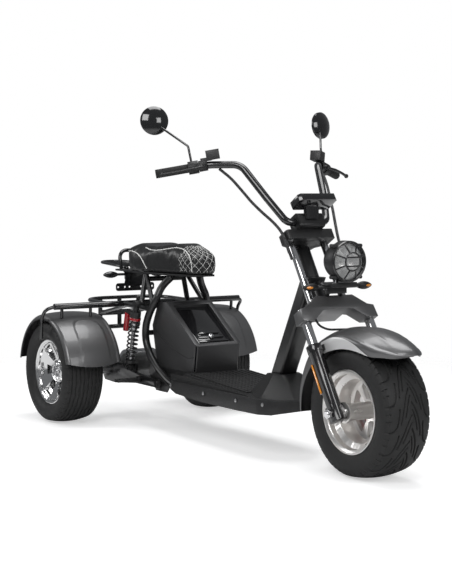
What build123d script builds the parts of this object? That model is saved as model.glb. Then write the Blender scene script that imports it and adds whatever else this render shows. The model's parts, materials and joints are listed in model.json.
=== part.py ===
from build123d import *
import math
import os

# Three-wheeled electric scooter: one fat steered wheel in front, two driven wheels behind.
# Millimetres, +X forward, +Y to the left, +Z up, ground at Z = 0.
# Places along X are measured from the front axle; the finished pieces are moved by CENTRE_SHIFT.

# Wheels and stance
WHEELBASE = 1680.0
REAR_TRACK = 770.0
FRONT_TYRE_D = 480.0
FRONT_TYRE_W = 205.0
FRONT_RIM_D = 304.0
FRONT_RIM_W = 186.0
REAR_TYRE_D = 450.0
REAR_TYRE_W = 190.0
REAR_RIM_D = 286.0
REAR_RIM_W = 144.0
TYRE_WALL = 13.0
RIM_LIP = 4.0
RIM_FLANGE_H = 12.0
RIM_WALL = 5.0
RIM_WELL_DROP = 20.0
SPOKE_COUNT = 6
BORE_CLEARANCE = 0.05
FACE_GAP = 0.3
FRONT_AXLE_D = 20.0
REAR_STUB_D = 30.0
FRONT_Z = FRONT_TYRE_D / 2
REAR_Z = REAR_TYRE_D / 2
REAR_Y = REAR_TRACK / 2

# Fork: its own frame has its origin at the front axle, f forward across the legs, s up along them
RAKE = 31.0
LEG_Y = 145.0
STANCHION_D = 36.0
SLIDER_D = 52.0
SLIDER_TOP_S = 264.0
LEG_FOOT_S = -26.0
STEER_OFFSET = 65.0
STEM_D = 30.0
HEAD_TUBE_D = 60.0
HEAD_TUBE_LOW_S = 462.0
HEAD_TUBE_TOP_S = 692.0
UPPER_TUBE_Y = 76.0
UPPER_TUBE_F = -20.0
UPPER_TUBE_D = 28.0
YOKE_EAR_S = 356.0
YOKE_SHOULDER_S = 410.0
YOKE_TOP_S = 450.0
YOKE_CREST_S = 396.0
TOP_CLAMP_S = 716.0
TOP_CLAMP_T = 38.0
BAR_F = 17.0
BAR_S = 766.0
BAR_D = 28.0
GRIP_D = 34.0

# Frame
LOOP_D = 32.0
STRUT_D = 20.0
RAIL_Y = 133.0
RAIL_Z = 186.0
NECK_SLOPE = 0.54
NECK_REF_X = -343.0
NECK_REF_Z = 651.0
NECK_DEPTH = 60.0
NECK_WIDTH = 80.0
REAR_BAR_X = -(WHEELBASE - 100.0)
REAR_BAR_Z = 520.0
REAR_BAR_D = 27.0
REAR_BAR_Y = 478.0
STAY_D = 15.0

# Deck
DECK_TOP_Z = 232.0
DECK_T = 26.0
DECK_HALF_W = 166.0
DECK_REAR_X = -1130.0
DECK_FRONT_X = -346.0
SKIRT_T = 4.0
MAT_T = 5.0

# Battery box
BOX_HALF_W = 112.0
BOX_WALL = 4.0
HATCH_HALF_W = 88.0
HATCH_RECESS = 14.0
HATCH_T = 6.0
HATCH_GAP = 2.0

# Overall length, from the rear of the tail rack to the tip of the front mudguard
NOSE_X = 265.0
TAIL_X = -1957.0
CENTRE_SHIFT = -(NOSE_X + TAIL_X) / 2

COS = math.cos(math.radians(RAKE))
SIN = math.sin(math.radians(RAKE))
FORK = Plane(origin=(0, 0, FRONT_Z), x_dir=(COS, 0, SIN), z_dir=(-SIN, 0, COS)).location
ROOT = (Align.CENTER, Align.CENTER, Align.MIN)

os.makedirs("parts", exist_ok=True)


def save(name, *shapes):
    """Writes one piece, moved to the part's own origin."""
    solids = []
    for shape in shapes:
        solids += list(shape.solids())
    moved = [Pos(CENTRE_SHIFT, 0, 0) * solid for solid in solids]
    body = moved[0] if len(moved) == 1 else Compound(children=moved)
    export_step(body, f"parts/{name}.step")


def rod(a, b, d):
    """A round bar of diameter d between two points."""
    start = Vector(*a)
    run = Vector(*b) - start
    return Plane(origin=start, z_dir=run) * Cylinder(d / 2, run.length, align=ROOT)


def bent_tube(points, radii, d):
    """A round tube along straight runs joined by tangent arcs."""
    path = FilletPolyline(*points, radius=radii)
    return sweep(Plane(origin=path @ 0, z_dir=path % 0) * Circle(d / 2), path=path)


def ring(d_outer, d_inner, width):
    """A ring about the Y axis."""
    return Rot(90, 0, 0) * (Cylinder(d_outer / 2, width) - Cylinder(d_inner / 2, width * 2))


def drum(d, y0, y1):
    """A round bar along Y between two places."""
    return Pos(0, (y0 + y1) / 2, 0) * Rot(90, 0, 0) * Cylinder(d / 2, abs(y1 - y0))


def both(shape):
    """A piece and its mirror image on the other side."""
    return [shape, mirror(shape, about=Plane.XZ)]


def fork_point(f, y, s):
    return (f * COS - s * SIN, y, FRONT_Z + f * SIN + s * COS)


def turned(profile_edges, arc=360.0):
    """Revolves a closed profile, drawn as width and radius, about the wheel's axle."""
    face = Plane.YZ * make_face(profile_edges)
    return revolve(face, Axis.Y, arc)


def spun(edges):
    """Revolves a closed profile, drawn as radius and height, about Z."""
    return Rot(90, 0, 0) * revolve(make_face(edges), Axis.Y)


def cap_arc(r, z_edge, z_top):
    """An arc of a sphere centred on the axis, from its edge at radius r up or down to the axis."""
    h = z_top - z_edge
    big = (r * r + h * h) / (2 * abs(h))
    centre = z_top - math.copysign(big, h)
    half = math.asin(min(1.0, r / big)) / 2
    return ThreePointArc((r, z_edge), (big * math.sin(half), centre + math.copysign(big * math.cos(half), h)), (0, z_top))


def tyre(d, width, rim_d, rim_w):
    r = d / 2
    seat = rim_d / 2 - RIM_FLANGE_H
    bead = rim_w / 2 - RIM_LIP - FACE_GAP
    w = width / 2
    shoulder = w * 0.86
    outer = [
        Line((-bead, seat), (-bead, rim_d / 2)),
        ThreePointArc((-bead, rim_d / 2), (-w, (r + rim_d / 2) / 2 - 2), (-shoulder, r - 11)),
        ThreePointArc((-shoulder, r - 11), (0, r), (shoulder, r - 11)),
        ThreePointArc((shoulder, r - 11), (w, (r + rim_d / 2) / 2 - 2), (bead, rim_d / 2)),
        Line((bead, rim_d / 2), (bead, seat)),
    ]
    toe = bead - TYRE_WALL
    inner = [
        Line((bead, seat), (toe, seat)),
        Line((toe, seat), (w - TYRE_WALL, r - 4 * TYRE_WALL)),
        ThreePointArc((w - TYRE_WALL, r - 4 * TYRE_WALL), (0, r - TYRE_WALL), (TYRE_WALL - w, r - 4 * TYRE_WALL)),
        Line((TYRE_WALL - w, r - 4 * TYRE_WALL), (-toe, seat)),
        Line((-toe, seat), (-bead, seat)),
    ]
    return turned(outer + inner)


def rim_barrel(rim_d, rim_w):
    lip = rim_d / 2
    seat = lip - RIM_FLANGE_H - BORE_CLEARANCE
    well = seat - RIM_WELL_DROP
    w = rim_w / 2
    ledge = w - 30
    drop = ledge - 12
    outside = [
        (-w, lip), (RIM_LIP - w, lip), (RIM_LIP - w, seat), (-ledge, seat), (-drop, well),
        (drop, well), (ledge, seat), (w - RIM_LIP, seat), (w - RIM_LIP, lip), (w, lip),
    ]
    inside = [
        (w, lip - RIM_WALL), (w - RIM_LIP - 4, seat - RIM_WALL), (ledge, seat - RIM_WALL), (drop, well - RIM_WALL),
        (-drop, well - RIM_WALL), (-ledge, seat - RIM_WALL), (RIM_LIP + 4 - w, seat - RIM_WALL), (-w, lip - RIM_WALL),
    ]
    return turned(Polyline(*outside, *inside, close=True))


def wheel_window(r_in, r_out, angle_half, fillet_r):
    """A rounded window between two spokes, drawn in the wheel's plane."""
    a = math.radians(angle_half)
    corners = [
        (r_in * math.cos(a), -r_in * math.sin(a)), (r_out * math.cos(a), -r_out * math.sin(a)),
        (r_out * math.cos(a), r_out * math.sin(a)), (r_in * math.cos(a), r_in * math.sin(a)),
    ]
    face = make_face(Polyline(*corners, close=True))
    return fillet(face.vertices(), fillet_r)


# Front wheel: deep dish on the right, spoked disc left of the middle
front_seat_r = FRONT_RIM_D / 2 - RIM_FLANGE_H - RIM_WALL - RIM_WELL_DROP
FRONT_DISC_Y = 8.0
FRONT_DISC_T = 28.0
FRONT_HUB_D = 62.0
FRONT_HUB_RIGHT_Y = -113.0
FRONT_HUB_LEFT_Y = 72.0
front_tyre = tyre(FRONT_TYRE_D, FRONT_TYRE_W, FRONT_RIM_D, FRONT_RIM_W)
spoke_disc = drum(2 * front_seat_r + 4, FRONT_DISC_Y, FRONT_DISC_Y + FRONT_DISC_T)
window = extrude(wheel_window(44, 104, 21, 9), 120, both=True)
window = Rot(90, 0, 0) * window
for i in range(SPOKE_COUNT):
    spoke_disc -= Rot(0, 20 + i * 360 / SPOKE_COUNT, 0) * window
front_rim = rim_barrel(FRONT_RIM_D, FRONT_RIM_W) + spoke_disc
front_rim += drum(FRONT_HUB_D, FRONT_HUB_RIGHT_Y, FRONT_HUB_LEFT_Y)
front_rim += drum(FRONT_HUB_D + 14, FRONT_HUB_RIGHT_Y, FRONT_HUB_RIGHT_Y + 8)
front_rim -= drum(FRONT_AXLE_D + 2 * BORE_CLEARANCE, -200, 200)
FRONT_BRAKE_D = 208.0
FRONT_BRAKE_T = 4.0
front_disc = ring(FRONT_BRAKE_D, FRONT_AXLE_D + 2 * BORE_CLEARANCE, FRONT_BRAKE_T)
for i in range(6):
    cut = Rot(0, i * 60, 0) * Pos(66, 0, 0) * Rot(90, 0, 0) * Cylinder(13, 30)
    front_disc -= cut
front_disc = Pos(0, FRONT_HUB_LEFT_Y + FRONT_BRAKE_T / 2, 0) * front_disc
front_place = Pos(0, 0, FRONT_Z)
save("front_tyre", front_place * front_tyre)
save("front_rim", front_place * (front_rim + front_disc))

# Rear wheels: the spokes are dished in from the outer lip, outer side toward +Y for the left wheel
REAR_FACE_IN = 46.0
REAR_HUB_D = 96.0
REAR_HUB_IN_Y = -62.0
REAR_HUB_OUT_Y = 34.0
rear_seat_r = REAR_RIM_D / 2 - RIM_FLANGE_H - RIM_WALL
rear_tyre = tyre(REAR_TYRE_D, REAR_TYRE_W, REAR_RIM_D, REAR_RIM_W)
rim_w = REAR_RIM_W / 2
dish_out = rim_w - 16
dish_in = rim_w - REAR_FACE_IN
DISH_T = 16.0
dish = turned(Polyline(
    (dish_out, rear_seat_r + 2), (dish_in, REAR_HUB_D / 2 - 4), (dish_in - DISH_T, REAR_HUB_D / 2 - 4),
    (dish_out - DISH_T, rear_seat_r + 2), close=True))
rear_window = Rot(90, 0, 0) * extrude(wheel_window(56, 124, 15, 8), 120, both=True)
for i in range(SPOKE_COUNT):
    dish -= Rot(0, i * 360 / SPOKE_COUNT, 0) * rear_window
rear_rim = rim_barrel(REAR_RIM_D, REAR_RIM_W) + dish + drum(REAR_HUB_D, REAR_HUB_IN_Y, REAR_HUB_OUT_Y)
rear_rim -= drum(REAR_STUB_D + 2 * BORE_CLEARANCE, -200, 200)
REAR_BRAKE_D = 190.0
REAR_BRAKE_T = 4.0
rear_disc = ring(REAR_BRAKE_D, REAR_STUB_D + 2 * BORE_CLEARANCE, REAR_BRAKE_T)
rear_disc = Pos(0, REAR_HUB_IN_Y - REAR_BRAKE_T / 2, 0) * rear_disc
rear_rim += rear_disc
for side, name in ((1, "left"), (-1, "right")):
    place = Pos(-WHEELBASE, side * REAR_Y, REAR_Z) * Rot(0, 0, 0 if side > 0 else 180)
    save(f"rear_tyre_{name}", place * rear_tyre)
    save(f"rear_rim_{name}", place * rear_rim)

# Fork, built in its own frame
leg = Pos(0, -LEG_Y, 0)
slider = leg * Pos(0, 0, LEG_FOOT_S) * Cylinder(SLIDER_D / 2, SLIDER_TOP_S - LEG_FOOT_S, align=ROOT)
slider += leg * Pos(0, 0, SLIDER_TOP_S - 26) * Cylinder(SLIDER_D / 2 + 3, 26, align=ROOT)
slider += leg * Pos(0, 0, LEG_FOOT_S - 4) * Box(SLIDER_D - 8, SLIDER_D - 6, 60, align=ROOT)
STANCHION_SUNK = 180.0
slider -= leg * Pos(0, 0, SLIDER_TOP_S - STANCHION_SUNK) * Cylinder(STANCHION_D / 2, STANCHION_SUNK + 1, align=ROOT)
slider -= drum(FRONT_AXLE_D, -LEG_Y - 80, LEG_Y + 80)
stanchion = leg * Pos(0, 0, SLIDER_TOP_S - STANCHION_SUNK) * Cylinder(
    STANCHION_D / 2, YOKE_SHOULDER_S - SLIDER_TOP_S + STANCHION_SUNK - 2, align=ROOT)
save("fork_sliders", *[FORK * s for s in both(slider)])

AXLE_END_Y = 188.0
axle = drum(FRONT_AXLE_D, -AXLE_END_Y, AXLE_END_Y)
nut = Pos(0, -LEG_Y - SLIDER_D / 2 - 8, 0) * Rot(90, 0, 0) * extrude(RegularPolygon(17, 6), 8, both=True)
spacer_l = FRONT_HUB_LEFT_Y + FRONT_BRAKE_T + FACE_GAP
axle += drum(34, spacer_l, LEG_Y - SLIDER_D / 2 - FACE_GAP)
axle += drum(34, FRONT_HUB_RIGHT_Y - FACE_GAP, -LEG_Y + SLIDER_D / 2 + FACE_GAP)
for s in both(nut):
    axle += s
save("front_axle", FORK * axle)

# Lower yoke: a faceted arch that spreads from the stem to the two ears
YOKE_DEPTH = 54.0
EAR_HALF = 26.0
yoke_outline = [
    (-LEG_Y - EAR_HALF, YOKE_EAR_S), (-LEG_Y - EAR_HALF + 4, YOKE_SHOULDER_S - 6), (-LEG_Y + 6, YOKE_SHOULDER_S),
    (-84, YOKE_TOP_S), (84, YOKE_TOP_S), (LEG_Y - 6, YOKE_SHOULDER_S), (LEG_Y + EAR_HALF - 4, YOKE_SHOULDER_S - 6),
    (LEG_Y + EAR_HALF, YOKE_EAR_S), (LEG_Y - EAR_HALF, YOKE_EAR_S), (70, YOKE_CREST_S - 4), (40, YOKE_CREST_S),
    (-40, YOKE_CREST_S), (-70, YOKE_CREST_S - 4), (-LEG_Y + EAR_HALF, YOKE_EAR_S),
]
yoke = Plane.YZ * make_face(Polyline(*yoke_outline, close=True))
yoke = extrude(yoke, YOKE_DEPTH / 2, both=True)
yoke_back = Pos(-STEER_OFFSET / 2 - 12, 0, YOKE_CREST_S + 2) * Box(STEER_OFFSET + 24, 120, YOKE_TOP_S - YOKE_CREST_S - 2, align=ROOT)
yoke += yoke_back
yoke -= leg * Pos(0, 0, YOKE_EAR_S - 1) * Cylinder(STANCHION_D / 2, YOKE_SHOULDER_S - YOKE_EAR_S - 1, align=ROOT)
yoke -= Pos(0, LEG_Y, YOKE_EAR_S - 1) * Cylinder(STANCHION_D / 2, YOKE_SHOULDER_S - YOKE_EAR_S - 1, align=ROOT)
UPPER_SUNK = 30.0
upper_low = YOKE_TOP_S - UPPER_SUNK
stem_low = YOKE_CREST_S + 8
for y in (-UPPER_TUBE_Y, UPPER_TUBE_Y):
    yoke -= Pos(UPPER_TUBE_F, y, upper_low) * Cylinder(UPPER_TUBE_D / 2, 100, align=ROOT)

clamp_top = TOP_CLAMP_S + TOP_CLAMP_T / 2
stem = Pos(-STEER_OFFSET, 0, stem_low) * Cylinder(STEM_D / 2, clamp_top - 6 - stem_low, align=ROOT)
yoke += stem
save("fork_lower_yoke", FORK * yoke)
uppers = [Pos(UPPER_TUBE_F, y, upper_low) * Cylinder(UPPER_TUBE_D / 2, clamp_top - 8 - upper_low, align=ROOT)
          for y in (-UPPER_TUBE_Y, UPPER_TUBE_Y)]
save("fork_tubes", *[FORK * u for u in uppers + both(stanchion)])

clamp_outline = [
    (22, -108), (22, 108), (-40, 108), (-62, 60), (-104, 40), (-104, -40), (-62, -60), (-40, -108),
]
clamp = make_face(Polyline(*clamp_outline, close=True))
clamp = fillet(clamp.vertices(), 12)
clamp = Pos(0, 0, TOP_CLAMP_S - TOP_CLAMP_T / 2) * extrude(clamp, TOP_CLAMP_T)
clamp -= Pos(-STEER_OFFSET, 0, TOP_CLAMP_S - 60) * Cylinder(STEM_D / 2, clamp_top - 6 - TOP_CLAMP_S + 60, align=ROOT)
for y in (-UPPER_TUBE_Y, UPPER_TUBE_Y):
    clamp -= Pos(UPPER_TUBE_F, y, TOP_CLAMP_S - 60) * Cylinder(
        UPPER_TUBE_D / 2, clamp_top - 8 - TOP_CLAMP_S + 60, align=ROOT)
save("fork_top_clamp", FORK * clamp)

# Handlebar and its clamp block
CLAMP_BLOCK_W = 118.0
block = Pos(BAR_F, 0, (clamp_top + BAR_S + 26) / 2) * Box(62, CLAMP_BLOCK_W, BAR_S + 26 - clamp_top)
block = fillet(block.edges().filter_by(Axis.Y), 10)
block -= Pos(BAR_F, 0, BAR_S) * Rot(90, 0, 0) * Cylinder(BAR_D / 2, 300)
save("handlebar_clamp", FORK * block)

bar_x, _, bar_z = fork_point(BAR_F, 0, BAR_S)
# half of the bar: place along X and Z, half width
BAR_PATH = [
    (bar_x, 0.0, bar_z), (bar_x, 92.0, bar_z), (-455.0, 136.0, 1000.0), (-560.0, 182.0, 1124.0),
    (-660.0, 262.0, 1124.0), (-768.0, 430.0, 1089.0),
]
BAR_BENDS = [34.0, 90.0, 70.0, 120.0]
half_bar = bent_tube([(x, -y, z) for x, y, z in BAR_PATH], BAR_BENDS, BAR_D)
half_bar_left = mirror(half_bar, about=Plane.XZ)
handlebar = half_bar + half_bar_left
save("handlebar", handlebar)

bar_end = Vector(-768.0, 430.0, 1089.0)
bar_dir = (bar_end - Vector(-660.0, 262.0, 1124.0)).normalized()
GRIP_LEN = 122.0
SWITCH_LEN = 40.0


def on_grip(along):
    """Plane across the left grip, at a distance in from its end."""
    place = bar_end - bar_dir * along
    return Plane(origin=place, z_dir=bar_dir, x_dir=(0, 0, 1))


grip = on_grip(GRIP_LEN) * (Cylinder(GRIP_D / 2, GRIP_LEN + 5, align=ROOT) - Cylinder(BAR_D / 2, GRIP_LEN, align=ROOT))
save("grips", *both(grip))
switch = on_grip(GRIP_LEN + SWITCH_LEN + 0.5) * (
    Cylinder(25, SWITCH_LEN, align=ROOT) - Cylinder(BAR_D / 2, SWITCH_LEN, align=ROOT))
save("switch_clusters", *both(switch))
LEVER_BLOCK_LEN = 34.0
perch_place = on_grip(GRIP_LEN + SWITCH_LEN + LEVER_BLOCK_LEN + 1.5)
perch = perch_place * (Cylinder(21, LEVER_BLOCK_LEN, align=ROOT) - Cylinder(BAR_D / 2, LEVER_BLOCK_LEN, align=ROOT))
reservoir = perch_place * Pos(36, 0, -26) * Box(38, 44, 52)
neck_block = perch_place * Pos(22, 0, 2) * Box(14, 24, 44)
perch += reservoir + neck_block
perch -= half_bar_left
lever_path = [
    tuple(perch_place.from_local_coords(Vector(-4, 30, 10))), tuple(perch_place.from_local_coords(Vector(-6, 52, 50))),
    tuple(perch_place.from_local_coords(Vector(-8, 58, 110))), tuple(perch_place.from_local_coords(Vector(-8, 54, 178))),
]
lever = bent_tube(lever_path, [18.0, 60.0], 11.0)
lever += Pos(*lever_path[-1]) * Sphere(9)
lever += rod(tuple(perch_place.from_local_coords(Vector(0, 19, 12))), lever_path[0], 16)
save("brake_controls", *both(perch + lever))

# Mirrors: a bent stem with a round head
MIRROR_D = 112.0
MIRROR_BASE = (-704.0, 314.0, 1133.0)
MIRROR_HEAD = (-841.0, 401.0, 1296.0)
MIRROR_KNEE = (-722.0, 318.0, 1196.0)
mirror_stem = bent_tube([MIRROR_BASE, MIRROR_KNEE, (-815.0, 384.0, 1270.0)], [16.0], 9.0)
HEAD_FACE = Plane(origin=MIRROR_HEAD, z_dir=(-0.95, -0.25, -0.1))
mirror_shell = spun([
    Line((0, 0), (MIRROR_D / 2 - 0.1, 0)), Line((MIRROR_D / 2 - 0.1, 0), (MIRROR_D / 2, -8)),
    cap_arc(MIRROR_D / 2, -8, -26), Line((0, -26), (0, 0))])
mirror_shell = HEAD_FACE.location * mirror_shell
glass_pocket = HEAD_FACE.location * Pos(0, 0, -3) * Cylinder(MIRROR_D / 2 - 4, 10, align=ROOT)
mirror_head = (mirror_shell - glass_pocket) + mirror_stem
mirror_glass = HEAD_FACE.location * Pos(0, 0, -3) * Cylinder(MIRROR_D / 2 - 4 - BORE_CLEARANCE, 2.4, align=ROOT)
mirror_head -= switch
mirror_head -= perch
save("mirrors", *both(mirror_head))
save("mirror_glasses", *both(mirror_glass))

# Display on its stalk above the clamp block
DISPLAY_W = 172.0
display_place = Plane(origin=(-338, 0, 984), x_dir=(0, 1, 0), z_dir=(-0.55, 0, 0.835)).location
display = display_place * Box(DISPLAY_W, 74, 26)
display = chamfer(display.edges().filter_by(lambda e: e.length < 30), 9)
stalk = Pos(-352, 0, 950) * Box(20, 56, 60)
stalk = stalk - display - FORK * block
save("display", display + stalk)

# Headlight: bowl, lens and wire guard, facing forward
LAMP_D = 152.0
LAMP_X = -140.0
LAMP_Z = 768.0
lamp_r = LAMP_D / 2
lamp_place = Pos(LAMP_X, 0, LAMP_Z) * Rot(0, 90, 0)
bowl = spun([
    Line((lamp_r - 9, 22), (lamp_r, 22)), Line((lamp_r, 22), (lamp_r, -14)), Line((lamp_r, -14), (lamp_r - 5, -18)),
    cap_arc(lamp_r - 5, -18, -86), Line((0, -86), (0, -80)),
    cap_arc(lamp_r - 9, -18, -80), Line((lamp_r - 9, -18), (lamp_r - 9, 22))])
for i in range(4):
    bowl += Rot(0, 0, 45 + 90 * i) * Pos(lamp_r + 5, 0, 2) * Cylinder(7, 32)
save("headlight_bowl", lamp_place * bowl)
LENS_T = 8.0
lens = spun([
    Line((0, 4), (lamp_r - 9 - FACE_GAP, 4)), Line((lamp_r - 9 - FACE_GAP, 4), (lamp_r - 9 - FACE_GAP, 4 + LENS_T)),
    cap_arc(lamp_r - 9 - FACE_GAP, 4 + LENS_T, 21), Line((0, 21), (0, 4))])
save("headlight_lens", lamp_place * lens)
GUARD_BAR_D = 6.0
GUARD_RING_R = 33.0
GUARD_OUT = 44.0
guard = Pos(0, 0, 22 + FACE_GAP + 3) * Torus(lamp_r - 4, 3) + Pos(0, 0, GUARD_OUT) * Torus(GUARD_RING_R, GUARD_BAR_D / 2)
for i in range(8):
    a = math.radians(22.5 + 45 * i)
    inner_end = (GUARD_RING_R * math.cos(a), GUARD_RING_R * math.sin(a), GUARD_OUT)
    outer_end = ((lamp_r - 4) * math.cos(a), (lamp_r - 4) * math.sin(a), 22 + FACE_GAP + 3)
    guard += rod(inner_end, outer_end, GUARD_BAR_D)
for level in (-16, 16):
    half = math.sqrt(GUARD_RING_R ** 2 - level ** 2)
    guard += rod((level, -half, GUARD_OUT), (level, half, GUARD_OUT), GUARD_BAR_D)
save("headlight_guard", lamp_place * guard)

# Lamp bracket between yoke and headlight, with the two indicators
SIGNAL_Y = 122.0
SIGNAL_X = -186.0
SIGNAL_Z = 674.0
bracket = Pos(-176, 0, 684) * Box(64, 116, 12) + Pos(-200, 0, 664) * Box(20, 90, 34)
for y in (-30, 30):
    bracket += rod((-150, y, 684), (-150, y, 700), 10)
bracket += rod((SIGNAL_X, -92, SIGNAL_Z), (SIGNAL_X, 92, SIGNAL_Z), 15)
for y in (-30, 30):
    bracket += rod((-200, y, 662), (-218, y, 624), 16)
bracket -= lamp_place * Cylinder(lamp_r + FACE_GAP, 90)
bracket -= FORK * yoke
save("lamp_bracket", bracket)
signal_profile = Plane.YZ * make_face([
    Line((92 + FACE_GAP, 0), (92 + FACE_GAP, 8)), ThreePointArc((92 + FACE_GAP, 8), (122, 15), (156, 4)),
    Line((156, 4), (156, 0)), Line((156, 0), (92 + FACE_GAP, 0))])
signal = Pos(SIGNAL_X, 0, SIGNAL_Z) * revolve(signal_profile, Axis.Y)
save("front_indicators", *both(signal))

REFLECTOR_TURN = 55.0
reflector = leg * Rot(0, 0, REFLECTOR_TURN) * Pos(-SLIDER_D / 2 - 3, 0, 140) * Box(6, 20, 110)
reflector -= slider
save("fork_reflectors", *[FORK * r for r in both(reflector)])

# Front mudguard: sections round the wheel: angle from forward, crest radius, half width, shoulder radius, edge radius
FENDER_HALF_W = 112.0
FENDER_SECTIONS = [
    (40.0, 346.0, 10.0, 343.0, 337.0), (44.0, 345.0, 52.0, 322.0, 302.0), (50.0, 336.0, 78.0, 303.0, 274.0),
    (58.0, 322.0, 98.0, 284.0, 248.0), (68.0, 310.0, 110.0, 275.0, 238.0), (80.0, 302.0, FENDER_HALF_W, 273.0, 230.0),
    (92.0, 300.0, FENDER_HALF_W, 277.0, 226.0), (108.0, 306.0, FENDER_HALF_W, 283.0, 226.0), (122.0, 315.0, FENDER_HALF_W, 288.0, 232.0),
    (136.0, 322.0, FENDER_HALF_W, 290.0, 240.0), (152.0, 312.0, FENDER_HALF_W, 284.0, 248.0), (170.0, 298.0, FENDER_HALF_W, 278.0, 256.0),
    (187.0, 287.0, 112.0, 270.0, 260.0),
]
FENDER_T = 4.0


def fender_section(angle, crest, half, shoulder, edge):
    a = math.radians(angle)
    plane = Plane(origin=(0, 0, FRONT_Z), x_dir=(0, 1, 0), z_dir=(math.sin(a), 0, -math.cos(a)))
    t = min(FENDER_T, half / 3)
    w = 0.84 * half
    hip = shoulder - 0.45 * (shoulder - edge)
    return plane * make_face([
        Line((-half, edge), (-half, hip)), Line((-half, hip), (-w, shoulder)),
        ThreePointArc((-w, shoulder), (0, crest), (w, shoulder)), Line((w, shoulder), (half, hip)),
        Line((half, hip), (half, edge)), Line((half, edge), (half - t, edge)),
        Line((half - t, edge), (half - t, hip - t / 3)), Line((half - t, hip - t / 3), (w - t / 3, shoulder - t)),
        ThreePointArc((w - t / 3, shoulder - t), (0, crest - t), (t / 3 - w, shoulder - t)),
        Line((t / 3 - w, shoulder - t), (t - half, hip - t / 3)), Line((t - half, hip - t / 3), (t - half, edge)),
        Line((t - half, edge), (-half, edge))])


fender = loft([fender_section(*row) for row in FENDER_SECTIONS], ruled=True)
COLLAR_R = SLIDER_D / 2 + 3
FENDER_PAD_T = LEG_Y - COLLAR_R - FENDER_HALF_W + 6
for y in (-1, 1):
    pad = Pos(0, y * (FENDER_HALF_W + FENDER_PAD_T / 2 - 2), SLIDER_TOP_S - 14) * Box(40, FENDER_PAD_T, 22)
    pad -= Pos(0, y * LEG_Y, 0) * Cylinder(COLLAR_R + FACE_GAP, 600)
    fender += FORK * pad
save("front_mudguard", fender)

# Front brake caliper on the left leg
CALIPER_R = 85.0
caliper = Rot(0, -38, 0) * Pos(-CALIPER_R, 75, 0) * Box(42, 34, 56)
caliper -= Pos(0, FRONT_HUB_LEFT_Y + FRONT_BRAKE_T / 2, 0) * Rot(90, 0, 0) * Cylinder(FRONT_BRAKE_D / 2 + 3, FRONT_BRAKE_T + 6)
hanger = Rot(0, -38, 0) * Pos(-CALIPER_R, 106, 0) * Box(30, 30, 50)
caliper += hanger
caliper -= Rot(0, -RAKE, 0) * Pos(0, LEG_Y, -60) * Cylinder(SLIDER_D / 2 + FACE_GAP, 500, align=ROOT)
caliper = front_place * caliper + rod((-62, 104, 192), (-14, 128, 232), 18)
caliper -= front_place * drum(34 + 2 * FACE_GAP, 0, 200)
caliper -= mirror(FORK * slider, about=Plane.XZ)
save("front_caliper", caliper)


def soft_bends(points, share=0.45, largest=400.0):
    """One radius for each corner, as large as its two runs allow."""
    radii = []
    for i in range(1, len(points) - 1):
        before = Vector(*points[i]) - Vector(*points[i - 1])
        after = Vector(*points[i + 1]) - Vector(*points[i])
        turn = math.radians(before.get_angle(after))
        radii.append(min(largest, share * min(before.length, after.length) / math.tan(turn / 2)))
    return radii


def smooth_tube(points, d):
    return bent_tube(points, soft_bends(points), d)


# Cables and looms on the steered parts
CABLES = {
    "loom_right": (11.0, [
        (-637.2, -229.5, 1108.9), (-606, -196, 1073), (-563, -180, 1031), (-520, -161, 984), (-479, -141, 945),
        (-428, -124, 909), (-380, -116, 872), (-342, -118, 822), (-318, -112, 770)]),
    "loom_left": (11.0, [
        (-612.4, 235.1, 1107.2), (-560, 216, 1078), (-508, 192, 1042), (-458, 168, 996), (-404, 142, 946),
        (-362, 122, 894), (-322, 104, 846), (-280, 88, 806)]),
    "brake_hose": (8.0, [
        (-187, -104, 566), (-183, -88, 534), (-178, -50, 517), (-170, 0, 516), (-170, 50, 514), (-158, 98, 498)]),
}
for name, (d, points) in CABLES.items():
    print(name, [round(r) for r in soft_bends(points)])
    save(name, smooth_tube(points, d) - FORK * yoke)

# Main frame: two loops of tube from the seat, back, down and forward under the deck
LOOP_PATH = [
    (-1268.0, 70.0, 655.0), (-1302.0, 100.0, 612.0), (-1300.0, 131.0, 552.0), (-1352.0, RAIL_Y, 495.0),
    (-1385.0, RAIL_Y, 436.0), (-1386.0, RAIL_Y, 374.0), (-1350.0, RAIL_Y, 314.0), (-1282.0, RAIL_Y, 258.0),
    (-1180.0, RAIL_Y, 206.0), (-1060.0, RAIL_Y, RAIL_Z), (-470.0, RAIL_Y, RAIL_Z),
]
left_half = smooth_tube(LOOP_PATH, LOOP_D)
left_half += rod((-1432, 101, 659), (-1318, 132, 520), STRUT_D)
left_half += rod((-1340, RAIL_Y, 512), (REAR_BAR_X, RAIL_Y, REAR_BAR_Z), 25)
left_half += rod((-1450, 95, 659), (-1446, 120, 518), 22)
pivot_plate = Plane.XZ * make_face(Polyline(
    (-1336, 286), (-1236, 236), (-1180, 190), (-1200, 166), (-1290, 166), (-1352, 236), close=True))
left_half += Pos(0, RAIL_Y + 3, 0) * extrude(pivot_plate, 6)
frame = left_half + mirror(left_half, about=Plane.XZ)
PIVOT_X = -1262.0
PIVOT_Z = 196.0
SHOCK_TOP_X = -1395.0
SHOCK_TOP_Z = 532.0
SHOCK_Y = 172.0
for x, z, half, d in (
        (-1450, 636, 98, 22), (PIVOT_X, PIVOT_Z, RAIL_Y, 30), (-472, RAIL_Z, RAIL_Y, 26),
        (-760, RAIL_Z, RAIL_Y, 22), (-1060, RAIL_Z, RAIL_Y, 22), (-1385, 405, RAIL_Y, 22),
        (SHOCK_TOP_X, 522, RAIL_Y, 25), (-600, RAIL_Z, RAIL_Y, 26)):
    frame += rod((x, -half, z), (x, half, z), d)
for y in (-SHOCK_Y, SHOCK_Y):
    frame += rod((SHOCK_TOP_X, math.copysign(122, y), SHOCK_TOP_Z), (SHOCK_TOP_X, y + math.copysign(14, y), SHOCK_TOP_Z), 14)
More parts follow.
